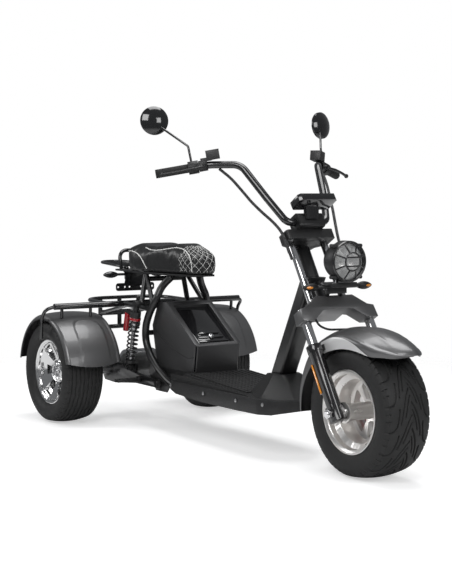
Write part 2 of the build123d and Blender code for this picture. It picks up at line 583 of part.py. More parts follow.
frame -= rod((REAR_BAR_X, -200, REAR_BAR_Z), (REAR_BAR_X, 200, REAR_BAR_Z), REAR_BAR_D)
save("main_frame", frame)

# Head tube and neck
neck_top = 700.0
neck_foot = RAIL_Z + 13.0


def neck_x(z):
    return NECK_REF_X - (NECK_REF_Z - z) * NECK_SLOPE


neck_face = Plane.XZ * make_face(Polyline(
    (neck_x(neck_top) + NECK_DEPTH / 2 - 16, neck_top), (neck_x(neck_foot) + NECK_DEPTH / 2 + 6, neck_foot),
    (neck_x(neck_foot) - NECK_DEPTH / 2 - 6, neck_foot), (neck_x(neck_top) - NECK_DEPTH / 2 - 22, neck_top), close=True))
neck = extrude(neck_face, NECK_WIDTH / 2, both=True)
neck = fillet(neck.edges().filter_by(lambda e: abs(e.length) > 300), 12)
head_tube = Pos(-STEER_OFFSET, 0, HEAD_TUBE_LOW_S) * Cylinder(
    HEAD_TUBE_D / 2, HEAD_TUBE_TOP_S - HEAD_TUBE_LOW_S, align=ROOT)
neck += FORK * head_tube
neck -= FORK * Pos(-STEER_OFFSET, 0, HEAD_TUBE_LOW_S - 200) * Cylinder(STEM_D / 2 + BORE_CLEARANCE, 600, align=ROOT)
neck -= FORK * Pos(-STEER_OFFSET, 0, HEAD_TUBE_LOW_S - 60) * Box(160, 200, 60, align=ROOT)
save("neck", neck)

# Deck floor, mat, side skirts and toe cover
outline = [
    (DECK_REAR_X, DECK_HALF_W - 8), (-620, DECK_HALF_W + 2), (-470, DECK_HALF_W - 4), (-400, 118), (DECK_FRONT_X, 46),
]
full_outline = outline + [(x, -y) for x, y in reversed(outline)]
plan = make_face(Polyline(*full_outline, close=True))
corner = [v for v in plan.vertices() if v.X > -500]
plan = fillet(corner, 30)
floor = Pos(0, 0, DECK_TOP_Z - DECK_T) * extrude(plan, DECK_T)
neck_slot = Pos(neck_x(DECK_TOP_Z - DECK_T / 2), 0, DECK_TOP_Z - DECK_T / 2) * Box(
    NECK_DEPTH + 40, NECK_WIDTH + 2, DECK_T + 4)
floor -= neck_slot
for y in (-RAIL_Y, RAIL_Y):
    floor -= Pos(-1105, y, DECK_TOP_Z - DECK_T / 2) * Box(130, LOOP_D + 6, DECK_T + 2)
# the middle of the floor is a raised tread that climbs to the foot of the battery box
TREAD_FRONT = (-560.0, 240.0)
TREAD_REAR = (-1018.0, 266.0)
TREAD_TAIL_X = -1288.0
for half_w, drop in ((150.0, 0.0), (158.0, 9.0)):
    tread_side = Plane.XZ * make_face(Polyline(
        (TREAD_FRONT[0] + 26, DECK_TOP_Z), (TREAD_FRONT[0], TREAD_FRONT[1] - drop / 3), (TREAD_REAR[0], TREAD_REAR[1] - drop),
        (DECK_REAR_X, TREAD_REAR[1] - drop), (DECK_REAR_X, DECK_TOP_Z), close=True))
    floor += extrude(tread_side, half_w, both=True)
plinth = Pos((DECK_REAR_X + TREAD_TAIL_X) / 2, 0, (DECK_TOP_Z + TREAD_REAR[1]) / 2) * Box(
    DECK_REAR_X - TREAD_TAIL_X, 2 * (BOX_HALF_W + 2), TREAD_REAR[1] - DECK_TOP_Z)
floor += plinth
for y in (-RAIL_Y, RAIL_Y):
    floor -= Pos(-1105, y, DECK_TOP_Z) * Box(130, LOOP_D + 6, 90)
neck_cut = extrude(neck_face, NECK_WIDTH / 2 + 1.0, both=True)
neck_cut = Pos(1, 0, 0) * neck_cut + Pos(-1, 0, 0) * neck_cut
floor -= neck_cut
save("deck_floor", floor)

# the mat lies on the slope of the tread
tread_slope = math.degrees(math.atan2(TREAD_REAR[1] - TREAD_FRONT[1], TREAD_FRONT[0] - TREAD_REAR[0]))
MAT_LEN = 420.0
MAT_HALF_W = 140.0
RIB_COUNT = 11
RIB_W = 9.0
MAT_PLACE = Pos(TREAD_FRONT[0] - 18, 0, TREAD_FRONT[1]) * Rot(0, tread_slope, 0) * Pos(-MAT_LEN / 2, 0, 18 * math.sin(math.radians(tread_slope)))
mat = Box(MAT_LEN, 2 * MAT_HALF_W, MAT_T, align=ROOT)
for i in range(RIB_COUNT):
    y = (i / (RIB_COUNT - 1) - 0.5) * 2 * (MAT_HALF_W - 15)
    mat += Pos(0, y, MAT_T - 1) * Box(MAT_LEN - 30, RIB_W, 4, align=ROOT)
mat = MAT_PLACE * mat
mat = mat - floor - neck_cut
save("deck_mat", mat)

ring_plan = offset(plan, SKIRT_T + 1) - offset(plan, 1)
skirt = Pos(0, 0, 160) * extrude(ring_plan, 90)
skirt_side = Plane.XZ * make_face(Polyline(
    (DECK_REAR_X + 6, 228), (DECK_REAR_X + 6, 192), (-1080, 178), (-874, 170), (-420, 174), (-330, 196), (-330, 230),
    (-600, 234), close=True))
skirt = skirt & extrude(skirt_side, 200, both=True)
save("deck_skirt", skirt)

toe_low = Plane(origin=(0, 0, DECK_TOP_Z)) * make_face(Polyline(
    (-592, -128), (-470, -150), (-368, -62), (-368, 62), (-470, 150), (-592, 128), close=True))
toe_top = Plane(origin=(0, 0, 316)) * make_face(Polyline(
    (-560, -56), (-512, -60), (-474, -46), (-474, 46), (-512, 60), (-560, 56), close=True))
toe = loft([toe_low, toe_top], ruled=True)
toe -= extrude(neck_face, NECK_WIDTH / 2 + FACE_GAP, both=True)
toe -= Pos(FACE_GAP, 0, 0) * extrude(neck_face, NECK_WIDTH / 2 + FACE_GAP, both=True)
toe -= Pos(-FACE_GAP, 0, 0) * extrude(neck_face, NECK_WIDTH / 2 + FACE_GAP, both=True)
toe -= floor
toe -= mat
save("toe_cover", toe)

# Battery box with its recessed, hinged hatch
BOX_FOOT_Z = TREAD_REAR[1]
HATCH_HIGH = (-1232.0, 534.0)
HATCH_LOW = (-1012.0, 381.0)
box_side = [
    (-1322.0, 282.0), (-1336.0, 330.0), (-1362.0, 440.0), (-1312.0, 544.0), (-1240.0, 547.0), (-1000.0, 380.0),
    (-1016.0, BOX_FOOT_Z), (-1300.0, BOX_FOOT_Z),
]
box_face = Plane.XZ * make_face(Polyline(*box_side, close=True))
box_outer = extrude(box_face, BOX_HALF_W, both=True)
FRONT_CORNER = 12.0
box_outer = chamfer(box_outer.edges().filter_by(lambda e: e.center().X > -1020 and e.length > 90 and abs(e.center().Y) > 100), FRONT_CORNER)
box = box_outer - extrude(offset(box_face, -BOX_WALL, kind=Kind.INTERSECTION), BOX_HALF_W - BOX_WALL, both=True)
slope = Vector(HATCH_LOW[0] - HATCH_HIGH[0], 0, HATCH_LOW[1] - HATCH_HIGH[1])
HATCH_LEN = slope.length
hatch_dir = slope.normalized()
# frame of the hatch: x down the slope, y to the left, z outward
HATCH = Plane(origin=(HATCH_HIGH[0], 0, HATCH_HIGH[1]), x_dir=hatch_dir, z_dir=hatch_dir.cross(Vector(0, 1, 0))).location
recess_len = HATCH_LEN - 16
recess = Pos(HATCH_LEN / 2, 0, -HATCH_RECESS) * Box(recess_len, 2 * HATCH_HALF_W, 60, align=ROOT)
tray = Pos(HATCH_LEN / 2, 0, -HATCH_RECESS - BOX_WALL) * Box(
    recess_len + 2 * BOX_WALL, 2 * (HATCH_HALF_W + BOX_WALL), HATCH_RECESS + 5 * BOX_WALL, align=ROOT)
doorway = Pos(HATCH_LEN / 2 - 11, 0, -HATCH_RECESS - 10) * Box(recess_len - 22, 2 * HATCH_HALF_W - 36, 60, align=ROOT)
HINGE_PIN_D = 4.0
hinge = (8 + HATCH_GAP + HATCH_T / 2, -HATCH_RECESS + FACE_GAP + HATCH_T / 2)
pin = Pos(hinge[0], 0, hinge[1]) * Rot(90, 0, 0) * Cylinder(HINGE_PIN_D / 2, 2 * (HATCH_HALF_W + BOX_WALL - 0.5))
pin_hole = Pos(hinge[0], 0, hinge[1]) * Rot(90, 0, 0) * Cylinder(
    HINGE_PIN_D / 2 + BORE_CLEARANCE, 2 * (HATCH_HALF_W + BOX_WALL))
box = (box - HATCH * recess) + ((HATCH * (tray - recess) & box_outer) - HATCH * doorway)
box -= HATCH * pin_hole
save("battery_box", box)

# the hatch plate starts at the pin and is rounded about it
hatch_len = recess_len - 2 * HATCH_GAP - HATCH_T / 2
hatch_w = 2 * HATCH_HALF_W - 2 * HATCH_GAP
hatch = Box(hatch_len, hatch_w, HATCH_T, align=ROOT)
hatch += Pos(-hatch_len / 2, 0, HATCH_T / 2) * Rot(90, 0, 0) * Cylinder(HATCH_T / 2, hatch_w)
STEP_COUNT = 3
for i in range(STEP_COUNT):
    hatch += Pos(hatch_len / 2 - 22 - 26 * i, 0, HATCH_T) * Box(12, hatch_w - 30 - 22 * i, 5, align=ROOT)
hatch += Pos(hatch_len / 2 - 40, 0, 0) * Cylinder(9, HATCH_T + 8, align=ROOT)
hatch = HATCH * (Pos(hinge[0] + hatch_len / 2, 0, -HATCH_RECESS + FACE_GAP) * hatch + pin)
save("battery_hatch", hatch)
pin_place = (HATCH * Pos(hinge[0], 0, hinge[1])).position
print("hatch hinge at", round(pin_place.X + CENTRE_SHIFT, 2), round(pin_place.Z, 2))

battery = Pos(-1190, 0, BOX_FOOT_Z + BOX_WALL + FACE_GAP) * Box(176, 180, 142, align=ROOT)
save("battery", battery)

# Seat pan and saddle
SEAT_FRONT_X = -1083.0
SEAT_REAR_X = -1620.0
SEAT_LOW_Z = 668.0
PAN_T = 8.0
pan_plan = make_face(Polyline(
    (-1110, -48), (-1250, -88), (-1400, -112), (-1588, -112), (-1588, 112), (-1400, 112), (-1250, 88), (-1110, 48),
    close=True))
pan = Pos(0, 0, SEAT_LOW_Z - PAN_T) * extrude(pan_plan, PAN_T)
pan -= left_half
pan -= mirror(left_half, about=Plane.XZ)
save("seat_pan", pan)
cushion_z = SEAT_LOW_Z + FACE_GAP
seat_side = Plane.XZ * make_face([
    Line((SEAT_FRONT_X - 14, cushion_z), (SEAT_FRONT_X, 690)),
    ThreePointArc((SEAT_FRONT_X, 690), (-1094, 733), (-1136, 766)), ThreePointArc((-1136, 766), (-1190, 785), (-1262, 790)),
    ThreePointArc((-1262, 790), (-1400, 776), (-1500, 784)), ThreePointArc((-1500, 784), (-1565, 776), (-1606, 750)),
    ThreePointArc((-1606, 750), (SEAT_REAR_X, 716), (-1612, cushion_z)), Line((-1612, cushion_z), (SEAT_FRONT_X - 14, cushion_z))])
seat = extrude(seat_side, 170, both=True)
seat_plan = make_face([
    ThreePointArc((-1104, -58), (SEAT_FRONT_X, 0), (-1104, 58)), ThreePointArc((-1104, 58), (-1220, 96), (-1370, 130)),
    ThreePointArc((-1370, 130), (-1470, 142), (-1570, 126)), ThreePointArc((-1570, 126), (SEAT_REAR_X, 0), (-1570, -126)),
    ThreePointArc((-1570, -126), (-1470, -142), (-1370, -130)), ThreePointArc((-1370, -130), (-1220, -96), (-1104, -58))])
seat = seat & Pos(0, 0, 600) * extrude(seat_plan, 300)
seat_cross = Plane.YZ * make_face([
    Line((-150, cushion_z), (-150, 716)), ThreePointArc((-150, 716), (-126, 766), (-84, 785)),
    ThreePointArc((-84, 785), (0, 792), (84, 785)), ThreePointArc((84, 785), (126, 766), (150, 716)),
    Line((150, 716), (150, cushion_z)), Line((150, cushion_z), (-150, cushion_z))])
seat = seat & extrude(seat_cross, 2000, both=True)
# the nose is narrower at its top than at its foot
nose_front = Plane.YZ.offset(SEAT_FRONT_X) * make_face([
    Line((-62, cushion_z), (-62, 706)), ThreePointArc((-62, 706), (0, 776), (62, 706)), Line((62, 706), (62, cushion_z)),
    Line((62, cushion_z), (-62, cushion_z))])
nose_rear = Plane.YZ.offset(-1330.0) * make_face([
    Line((-150, cushion_z), (-150, 760)), ThreePointArc((-150, 760), (0, 810), (150, 760)), Line((150, 760), (150, cushion_z)),
    Line((150, cushion_z), (-150, cushion_z))])
nose_shape = loft([nose_front, nose_rear], ruled=True) + Pos(-1630, 0, 740) * Box(600, 320, 200)
seat = seat & nose_shape
save("seat", seat)

# Grab hoop and small tail rack behind the saddle
HOOP_FOOT_Z = SEAT_LOW_Z + 3
hoop = smooth_tube([(-1676.0, 94.0, HOOP_FOOT_Z), (-1698.0, 94.0, 752.0), (-1698.0, -94.0, 752.0),
                    (-1676.0, -94.0, HOOP_FOOT_Z)], 17.0)
RACK_TUBE_D = 12.0
rack_z = SEAT_LOW_Z + RACK_TUBE_D / 2 + FACE_GAP
rack = smooth_tube([
    (-1652.0, 74.0, rack_z), (TAIL_X + 6, 76.0, rack_z + 16), (TAIL_X + 6, -76.0, rack_z + 16), (-1652.0, -74.0, rack_z)],
    RACK_TUBE_D)
for i in range(4):
    x = -1740 - 50 * i
    z = rack_z + 16 * (x + 1652) / (TAIL_X + 1658)
    rack += rod((x, -75, z), (x, 75, z), 8)
save("tail_rack", rack, hoop)

# Plate bracket with its web, rear indicators
bar = Pos(-1717, 0, 583) * Box(4, 200, 36)
bar = fillet(bar.edges().filter_by(Axis.X), 12)
for y in (-89, -54, -30, 30, 54, 89):
    bar -= Pos(-1717, y, 583) * Rot(0, 90, 0) * Cylinder(4.5, 20)
web = Plane.YZ * make_face(Polyline((-56, 596), (56, 596), (48, 640), (70, 664), (-70, 664), (-48, 640), close=True))
bar += Pos(-1717, 0, 0) * extrude(web, 2, both=True)
bar += Pos(-1653.5, 0, SEAT_LOW_Z - PAN_T / 2) * Box(131, 204, PAN_T)
save("plate_bracket", bar)
rear_signal_profile = Plane.YZ * make_face([
    Line((92, 0), (92, 8)), ThreePointArc((92, 8), (126, 15), (160, 4)), Line((160, 4), (160, 0)), Line((160, 0), (92, 0))])
rear_signal = Pos(-1724, 0, 641) * revolve(rear_signal_profile, Axis.Y) + rod((-1724, 44, 641), (-1724, 92, 641), 12)
rear_signal -= bar
rear_signal -= Pos(-1731, 0, 632) * Box(24, 84, 40)
lamp = Pos(-1731, 0, 632) * Box(24, 84, 40)
lamp = fillet(lamp.edges().filter_by(Axis.X), 10)
save("rear_lamps", lamp, *both(rear_signal))

# Lateral bar with the thin stays that stand outside the rear mudguards
bar_half = rod((REAR_BAR_X, 0, REAR_BAR_Z), (REAR_BAR_X, REAR_BAR_Y, REAR_BAR_Z), REAR_BAR_D)
stay = smooth_tube([
    (REAR_BAR_X - 5, REAR_BAR_Y - 6, REAR_BAR_Z), (REAR_BAR_X - 22, REAR_BAR_Y + 30, REAR_BAR_Z - 12),
    (REAR_BAR_X - 60, REAR_BAR_Y + 32, REAR_BAR_Z - 50), (REAR_BAR_X - 64, REAR_BAR_Y + 32, REAR_BAR_Z - 145)], STAY_D)
bar_half += stay
lateral = bar_half + mirror(bar_half, about=Plane.XZ)

# Luggage rack: flat hoop behind the lateral bar over a ladder of posts and rails
RACK_X = REAR_BAR_X - 290.0
RACK_Y = 206.0
luggage = smooth_tube([
    (REAR_BAR_X - 2, RACK_Y, REAR_BAR_Z + 2), (RACK_X, RACK_Y, 524), (RACK_X, -RACK_Y, 524),
    (REAR_BAR_X - 2, -RACK_Y, REAR_BAR_Z + 2)], 17.0)
for y in (-101, 0, 101):
    luggage += rod((RACK_X, y, 524), (RACK_X, y, 388), 20)
for z, d in ((455, 26), (388, 20)):
    luggage += rod((RACK_X, -104, z), (RACK_X, 104, z), d)
for y in (-101, 101):
    luggage += rod((RACK_X, y, 455), (REAR_BAR_X, y, REAR_BAR_Z - 6), 16)
save("rear_rack", lateral + luggage)

# Rear mudguards: crowned shells round each rear wheel
fender_profile = [
    Line((105, 236), (105, 243)), ThreePointArc((105, 243), (99, 251), (86, 256)),
    ThreePointArc((86, 256), (-25, 264), (-134, 254)), ThreePointArc((-134, 254), (-155, 248), (-161, 232)),
    Line((-161, 232), (-161, 196)), Line((-161, 196), (-157, 196)), Line((-157, 196), (-157, 232)),
    ThreePointArc((-157, 232), (-151, 244.5), (-134, 250)), ThreePointArc((-134, 250), (-25, 260), (86, 252)),
    ThreePointArc((86, 252), (96, 248), (101, 242)), Line((101, 242), (101, 236)), Line((101, 236), (105, 236))]
fender_rear = Rot(0, -80, 0) * revolve(Plane.YZ * make_face(fender_profile), Axis.Y, 161)
rear_guard = Pos(-WHEELBASE + 6, REAR_Y, REAR_Z) * fender_rear
FENDER_MOUNT_Z = REAR_Z + 264
rear_guard_left = rear_guard
for y in (REAR_Y - 85, REAR_Y + 55):
    rear_guard_left += rod((REAR_BAR_X - 3, y, REAR_BAR_Z - REAR_BAR_D / 2 + 1), (REAR_BAR_X - 6, y, FENDER_MOUNT_Z - 34), 14)
rear_guard_left -= rod((REAR_BAR_X, 0, REAR_BAR_Z), (REAR_BAR_X, REAR_BAR_Y, REAR_BAR_Z), REAR_BAR_D + 2 * FACE_GAP)
save("rear_mudguard_left", rear_guard_left)
save("rear_mudguard_right", mirror(rear_guard_left, about=Plane.XZ))

# Swing arm, driven axle with its motor, brakes
ARM_Y = 146.0
arm_side = Plane.XZ * make_face(Polyline(
    (PIVOT_X + 24, PIVOT_Z - 16), (PIVOT_X + 24, PIVOT_Z + 16), (-1440, 226), (-WHEELBASE + 40, REAR_Z + 37),
    (-WHEELBASE - 50, REAR_Z + 37), (-WHEELBASE - 76, REAR_Z - 25), (-WHEELBASE - 50, REAR_Z - 61),
    (-WHEELBASE + 50, REAR_Z - 65), (-1440, 180), close=True))
arm_side = fillet(arm_side.vertices(), 10)
ARM_T = 12.0
arm = Pos(0, ARM_Y + ARM_T / 2, 0) * extrude(arm_side, ARM_T)
arm += rod((PIVOT_X, RAIL_Y + 3 + FACE_GAP, PIVOT_Z), (PIVOT_X, ARM_Y + 12, PIVOT_Z), 30)
AXLE_TUBE_D = 56.0
arm -= rod((-WHEELBASE, 100, REAR_Z), (-WHEELBASE, 260, REAR_Z), AXLE_TUBE_D + 2 * BORE_CLEARANCE)
SHOCK_LOW_X = -1460.0
SHOCK_LOW_Z = 252.0
SHOCK_PIN_D = 16.0
arm += Pos(SHOCK_LOW_X, ARM_Y, 240) * Box(30, 12, 52)
arm += rod((SHOCK_LOW_X, ARM_Y, SHOCK_LOW_Z), (SHOCK_LOW_X, SHOCK_Y + 16, SHOCK_LOW_Z), SHOCK_PIN_D)
arms = [arm, mirror(arm, about=Plane.XZ)]
cross = rod((-1400, -ARM_Y, 200), (-1400, ARM_Y, 200), 28)
swing = arms[0] + arms[1] + cross
save("swing_arm", swing)
PEG_X = -1400.0
PEG_Z = 202.0
peg = Pos(PEG_X, ARM_Y + 6, PEG_Z) * Rot(-90, 0, 0) * Cylinder(14, 16, align=ROOT)
peg += Pos(PEG_X, ARM_Y + 20 + 52, PEG_Z) * Box(36, 104, 12)
for i in range(5):
    peg -= Pos(PEG_X, ARM_Y + 34 + 19 * i, PEG_Z) * Box(22, 9, 20)
save("footpegs", *both(peg))
HUB_FLANGE_Y = REAR_Y - 99.0
axle_tube = rod((-WHEELBASE, -HUB_FLANGE_Y, REAR_Z), (-WHEELBASE, HUB_FLANGE_Y, REAR_Z), AXLE_TUBE_D)
for y0, y1 in ((HUB_FLANGE_Y, HUB_FLANGE_Y + 14), (-HUB_FLANGE_Y - 14, -HUB_FLANGE_Y)):
    axle_tube += rod((-WHEELBASE, y0, REAR_Z), (-WHEELBASE, y1, REAR_Z), 90)
stub_end = REAR_Y + REAR_HUB_OUT_Y + 10
axle_tube += rod((-WHEELBASE, -stub_end, REAR_Z), (-WHEELBASE, stub_end, REAR_Z), REAR_STUB_D)
DIFF_D = 150.0
DIFF_HALF_W = 70.0
MOTOR_X = -WHEELBASE + 106.0
MOTOR_Z = REAR_Z + 7.0
MOTOR_D = 128.0
axle_tube += rod((-WHEELBASE, -DIFF_HALF_W, REAR_Z), (-WHEELBASE, DIFF_HALF_W, REAR_Z), DIFF_D)
save("rear_axle", axle_tube)
motor = rod((MOTOR_X, -128, MOTOR_Z), (MOTOR_X, 60, MOTOR_Z), MOTOR_D)
motor += Pos(MOTOR_X - 46, 0, MOTOR_Z - 4) * Box(60, 90, 90)
diff_y = DIFF_HALF_W + FACE_GAP
motor -= rod((-WHEELBASE, -diff_y, REAR_Z), (-WHEELBASE, diff_y, REAR_Z), DIFF_D + 2 * FACE_GAP)
save("motor", motor)

# Shock absorbers with side reservoirs
top = Vector(SHOCK_TOP_X, SHOCK_Y, SHOCK_TOP_Z)
low = Vector(SHOCK_LOW_X, SHOCK_Y, SHOCK_LOW_Z)
axis_len = (top - low).length
SHOCK = Plane(origin=low, z_dir=top - low, x_dir=(0, 1, 0)).location
COIL_COUNT = 10
COIL_FROM = 34.0
COIL_TO = axis_len - 66.0
pitch = (COIL_TO - COIL_FROM) / COIL_COUNT
wave = [(0.0, COIL_FROM)]
for i in range(COIL_COUNT):
    z = COIL_FROM + i * pitch
    wave += [(19, z), (25, z + pitch * 0.22), (25, z + pitch * 0.6), (19, z + pitch * 0.82)]
wave += [(19, COIL_TO), (0, COIL_TO)]
coil = spun(Polyline(*wave, close=True))
spring = SHOCK * coil
save("shock_springs", *both(spring))
damper = Pos(0, 0, 18) * Cylinder(22, COIL_FROM - 18 - FACE_GAP, align=ROOT)
damper += Rot(0, 90, 0) * Cylinder(16, 22)
damper += Pos(0, 0, 8) * Cylinder(9, 14, align=ROOT)
upper = Pos(0, 0, COIL_TO + FACE_GAP) * Cylinder(24, 30, align=ROOT)
upper += Pos(0, 0, COIL_TO + 30) * Cylinder(13, axis_len - COIL_TO - 38, align=ROOT)
upper += Pos(0, 0, axis_len) * (Rot(0, 90, 0) * Cylinder(16, 24) - Rot(0, 90, 0) * Cylinder(7 + BORE_CLEARANCE, 50))
upper += Pos(0, 46, COIL_TO + 6) * Box(18, 72, 14, align=ROOT)
damper -= Rot(0, 90, 0) * Cylinder(SHOCK_PIN_D / 2 + BORE_CLEARANCE, 50)
save("shock_dampers", *both(SHOCK * damper), *both(SHOCK * upper))
RESERVOIR_D = 26.0
reservoir = Pos(0, 68, COIL_TO - 76) * Cylinder(RESERVOIR_D / 2, 76 + 6 - FACE_GAP, align=ROOT)
save("shock_reservoirs", *both(SHOCK * reservoir))
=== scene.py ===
import bpy
import bmesh
import json
import math
import numpy
from mathutils import Matrix, Vector

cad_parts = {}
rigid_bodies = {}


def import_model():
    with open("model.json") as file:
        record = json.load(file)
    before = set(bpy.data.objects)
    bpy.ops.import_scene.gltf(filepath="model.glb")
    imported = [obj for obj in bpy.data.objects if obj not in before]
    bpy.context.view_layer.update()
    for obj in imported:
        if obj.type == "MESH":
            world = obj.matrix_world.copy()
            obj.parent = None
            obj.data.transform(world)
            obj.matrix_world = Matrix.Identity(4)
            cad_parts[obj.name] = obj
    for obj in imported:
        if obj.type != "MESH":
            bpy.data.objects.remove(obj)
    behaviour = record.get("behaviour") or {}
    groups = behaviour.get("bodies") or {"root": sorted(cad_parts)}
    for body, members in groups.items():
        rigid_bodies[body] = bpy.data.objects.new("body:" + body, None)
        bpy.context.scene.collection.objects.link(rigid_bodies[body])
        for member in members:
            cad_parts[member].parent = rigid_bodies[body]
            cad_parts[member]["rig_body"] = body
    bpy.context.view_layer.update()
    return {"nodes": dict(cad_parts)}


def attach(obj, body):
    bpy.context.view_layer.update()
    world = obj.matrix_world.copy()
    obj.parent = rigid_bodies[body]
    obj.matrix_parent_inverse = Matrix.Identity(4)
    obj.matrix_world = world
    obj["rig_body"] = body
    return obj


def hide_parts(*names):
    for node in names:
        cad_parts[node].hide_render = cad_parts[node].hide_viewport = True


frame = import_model()
bpy.ops.object.select_all(action="DESELECT")

# Places are written in millimetres from the front axle, as on the drawing; shiftX brings them to the frame
shiftX = 846.0
rake = math.radians(31.0)
wheels = {"frontZ": 240.0, "rearX": -1680.0, "rearY": 385.0, "rearZ": 225.0}


def at(x, y, z):
    return Vector(((x + shiftX) / 1000, y / 1000, z / 1000))


def forkAt(f, y, s):  # f forward across the legs, s up along them
    x = f * math.cos(rake) - s * math.sin(rake)
    return at(x, y, wheels["frontZ"] + f * math.sin(rake) + s * math.cos(rake))


forkUp = (forkAt(0, 0, 1000) - forkAt(0, 0, 0)).normalized()


# Camera, floor and light
cameraSet = {
    "place": (3932.3, -3140.4, 1033.6), "turn": 57.741, "down": 3.472,
    "lens": 86.643, "shiftX": 0.0217, "shiftY": -0.0314,
}
bpy.ops.object.camera_add(location=at(*cameraSet["place"]))
camera = bpy.context.object
camera.rotation_euler = (math.radians(90 - cameraSet["down"]), 0, math.radians(cameraSet["turn"]))
camera.data.lens = cameraSet["lens"]
camera.data.sensor_width = 36
camera.data.shift_x = cameraSet["shiftX"]
camera.data.shift_y = cameraSet["shiftY"]
camera.data.clip_end = 100
bpy.context.scene.camera = camera

lampSet = [
    # name, place, aim, size, watts
    ("keySoftbox", (1600, -3400, 3200), (-900, 0, 400), 2.2, 85),
    ("frontSoftbox", (3600, 900, 2300), (-600, 0, 400), 1.8, 48),
    ("topSoftbox", (-900, 300, 4200), (-900, 0, 0), 2.6, 95),
    ("rearSoftbox", (-3600, -2600, 2200), (-1500, 0, 400), 1.6, 30),
]
for lampName, place, aim, size, watts in lampSet:
    bpy.ops.object.light_add(type="AREA", location=at(*place))
    lamp = bpy.context.object
    lamp.name = lampName
    lamp.data.size = size
    lamp.data.energy = watts
    lamp.rotation_euler = (at(*aim) - at(*place)).to_track_quat("-Z", "Y").to_euler()
bpy.ops.object.select_all(action="DESELECT")


def seenDirectly(nodes, links):  # 1 where the camera sees the surface, also through glass
    path = nodes.new("ShaderNodeLightPath")
    first = nodes.new("ShaderNodeMath")
    first.operation = "MAXIMUM"
    links.new(path.outputs["Is Camera Ray"], first.inputs[0])
    links.new(path.outputs["Is Transmission Ray"], first.inputs[1])
    return first.outputs[0]


world = bpy.data.worlds.new("studio")
bpy.context.scene.world = world
world.use_nodes = True
nodes, links = world.node_tree.nodes, world.node_tree.links
backdrop = nodes["Background"]
backdrop.inputs["Color"].default_value = (0.8, 0.82, 0.85, 1)
backdrop.inputs["Strength"].default_value = 0.2
white = nodes.new("ShaderNodeBackground")
white.inputs["Color"].default_value = (1, 1, 1, 1)
white.inputs["Strength"].default_value = 1.0
mix = nodes.new("ShaderNodeMixShader")
links.new(seenDirectly(nodes, links), mix.inputs[0])
links.new(backdrop.outputs[0], mix.inputs[1])
links.new(white.outputs[0], mix.inputs[2])
links.new(mix.outputs[0], nodes["World Output"].inputs["Surface"])

bpy.ops.mesh.primitive_plane_add(size=60, location=(0, 0, 0))
floor = bpy.context.object
floor.name = "studioFloor"
floorFinish = bpy.data.materials.new("floorPaper")
floorFinish.use_nodes = True
nodes, links = floorFinish.node_tree.nodes, floorFinish.node_tree.links
nodes["Principled BSDF"].inputs["Base Color"].default_value = (0.86, 0.86, 0.86, 1)
nodes["Principled BSDF"].inputs["Roughness"].default_value = 0.9
nodes["Principled BSDF"].inputs["Specular IOR Level"].default_value = 0.1
glow = nodes.new("ShaderNodeEmission")
glow.inputs["Color"].default_value = (1, 1, 1, 1)
mix = nodes.new("ShaderNodeAddShader")
half = nodes.new("ShaderNodeMath")
half.operation = "MULTIPLY"
half.inputs[1].default_value = 0.5
links.new(seenDirectly(nodes, links), half.inputs[0])
links.new(half.outputs[0], glow.inputs["Strength"])
links.new(nodes["Principled BSDF"].outputs[0], mix.inputs[0])
links.new(glow.outputs[0], mix.inputs[1])
# the floor fades out far away, so no line shows where it ends
coords = nodes.new("ShaderNodeTexCoord")
reach = nodes.new("ShaderNodeVectorMath")
reach.operation = "LENGTH"
fade = nodes.new("ShaderNodeMapRange")
fade.inputs["From Min"].default_value = 1.9
fade.inputs["From Max"].default_value = 3.2
clear = nodes.new("ShaderNodeBsdfTransparent")
edge = nodes.new("ShaderNodeMixShader")
links.new(coords.outputs["Object"], reach.inputs[0])
links.new(reach.outputs["Value"], fade.inputs["Value"])
links.new(fade.outputs[0], edge.inputs[0])
links.new(mix.outputs[0], edge.inputs[1])
links.new(clear.outputs[0], edge.inputs[2])
links.new(edge.outputs[0], nodes["Material Output"].inputs["Surface"])
floor.data.materials.append(floorFinish)
floor.select_set(False)
bpy.context.scene.view_settings.view_transform = "Standard"
print("camera, floor and lamps are set")


# Finishes
finishes = {}


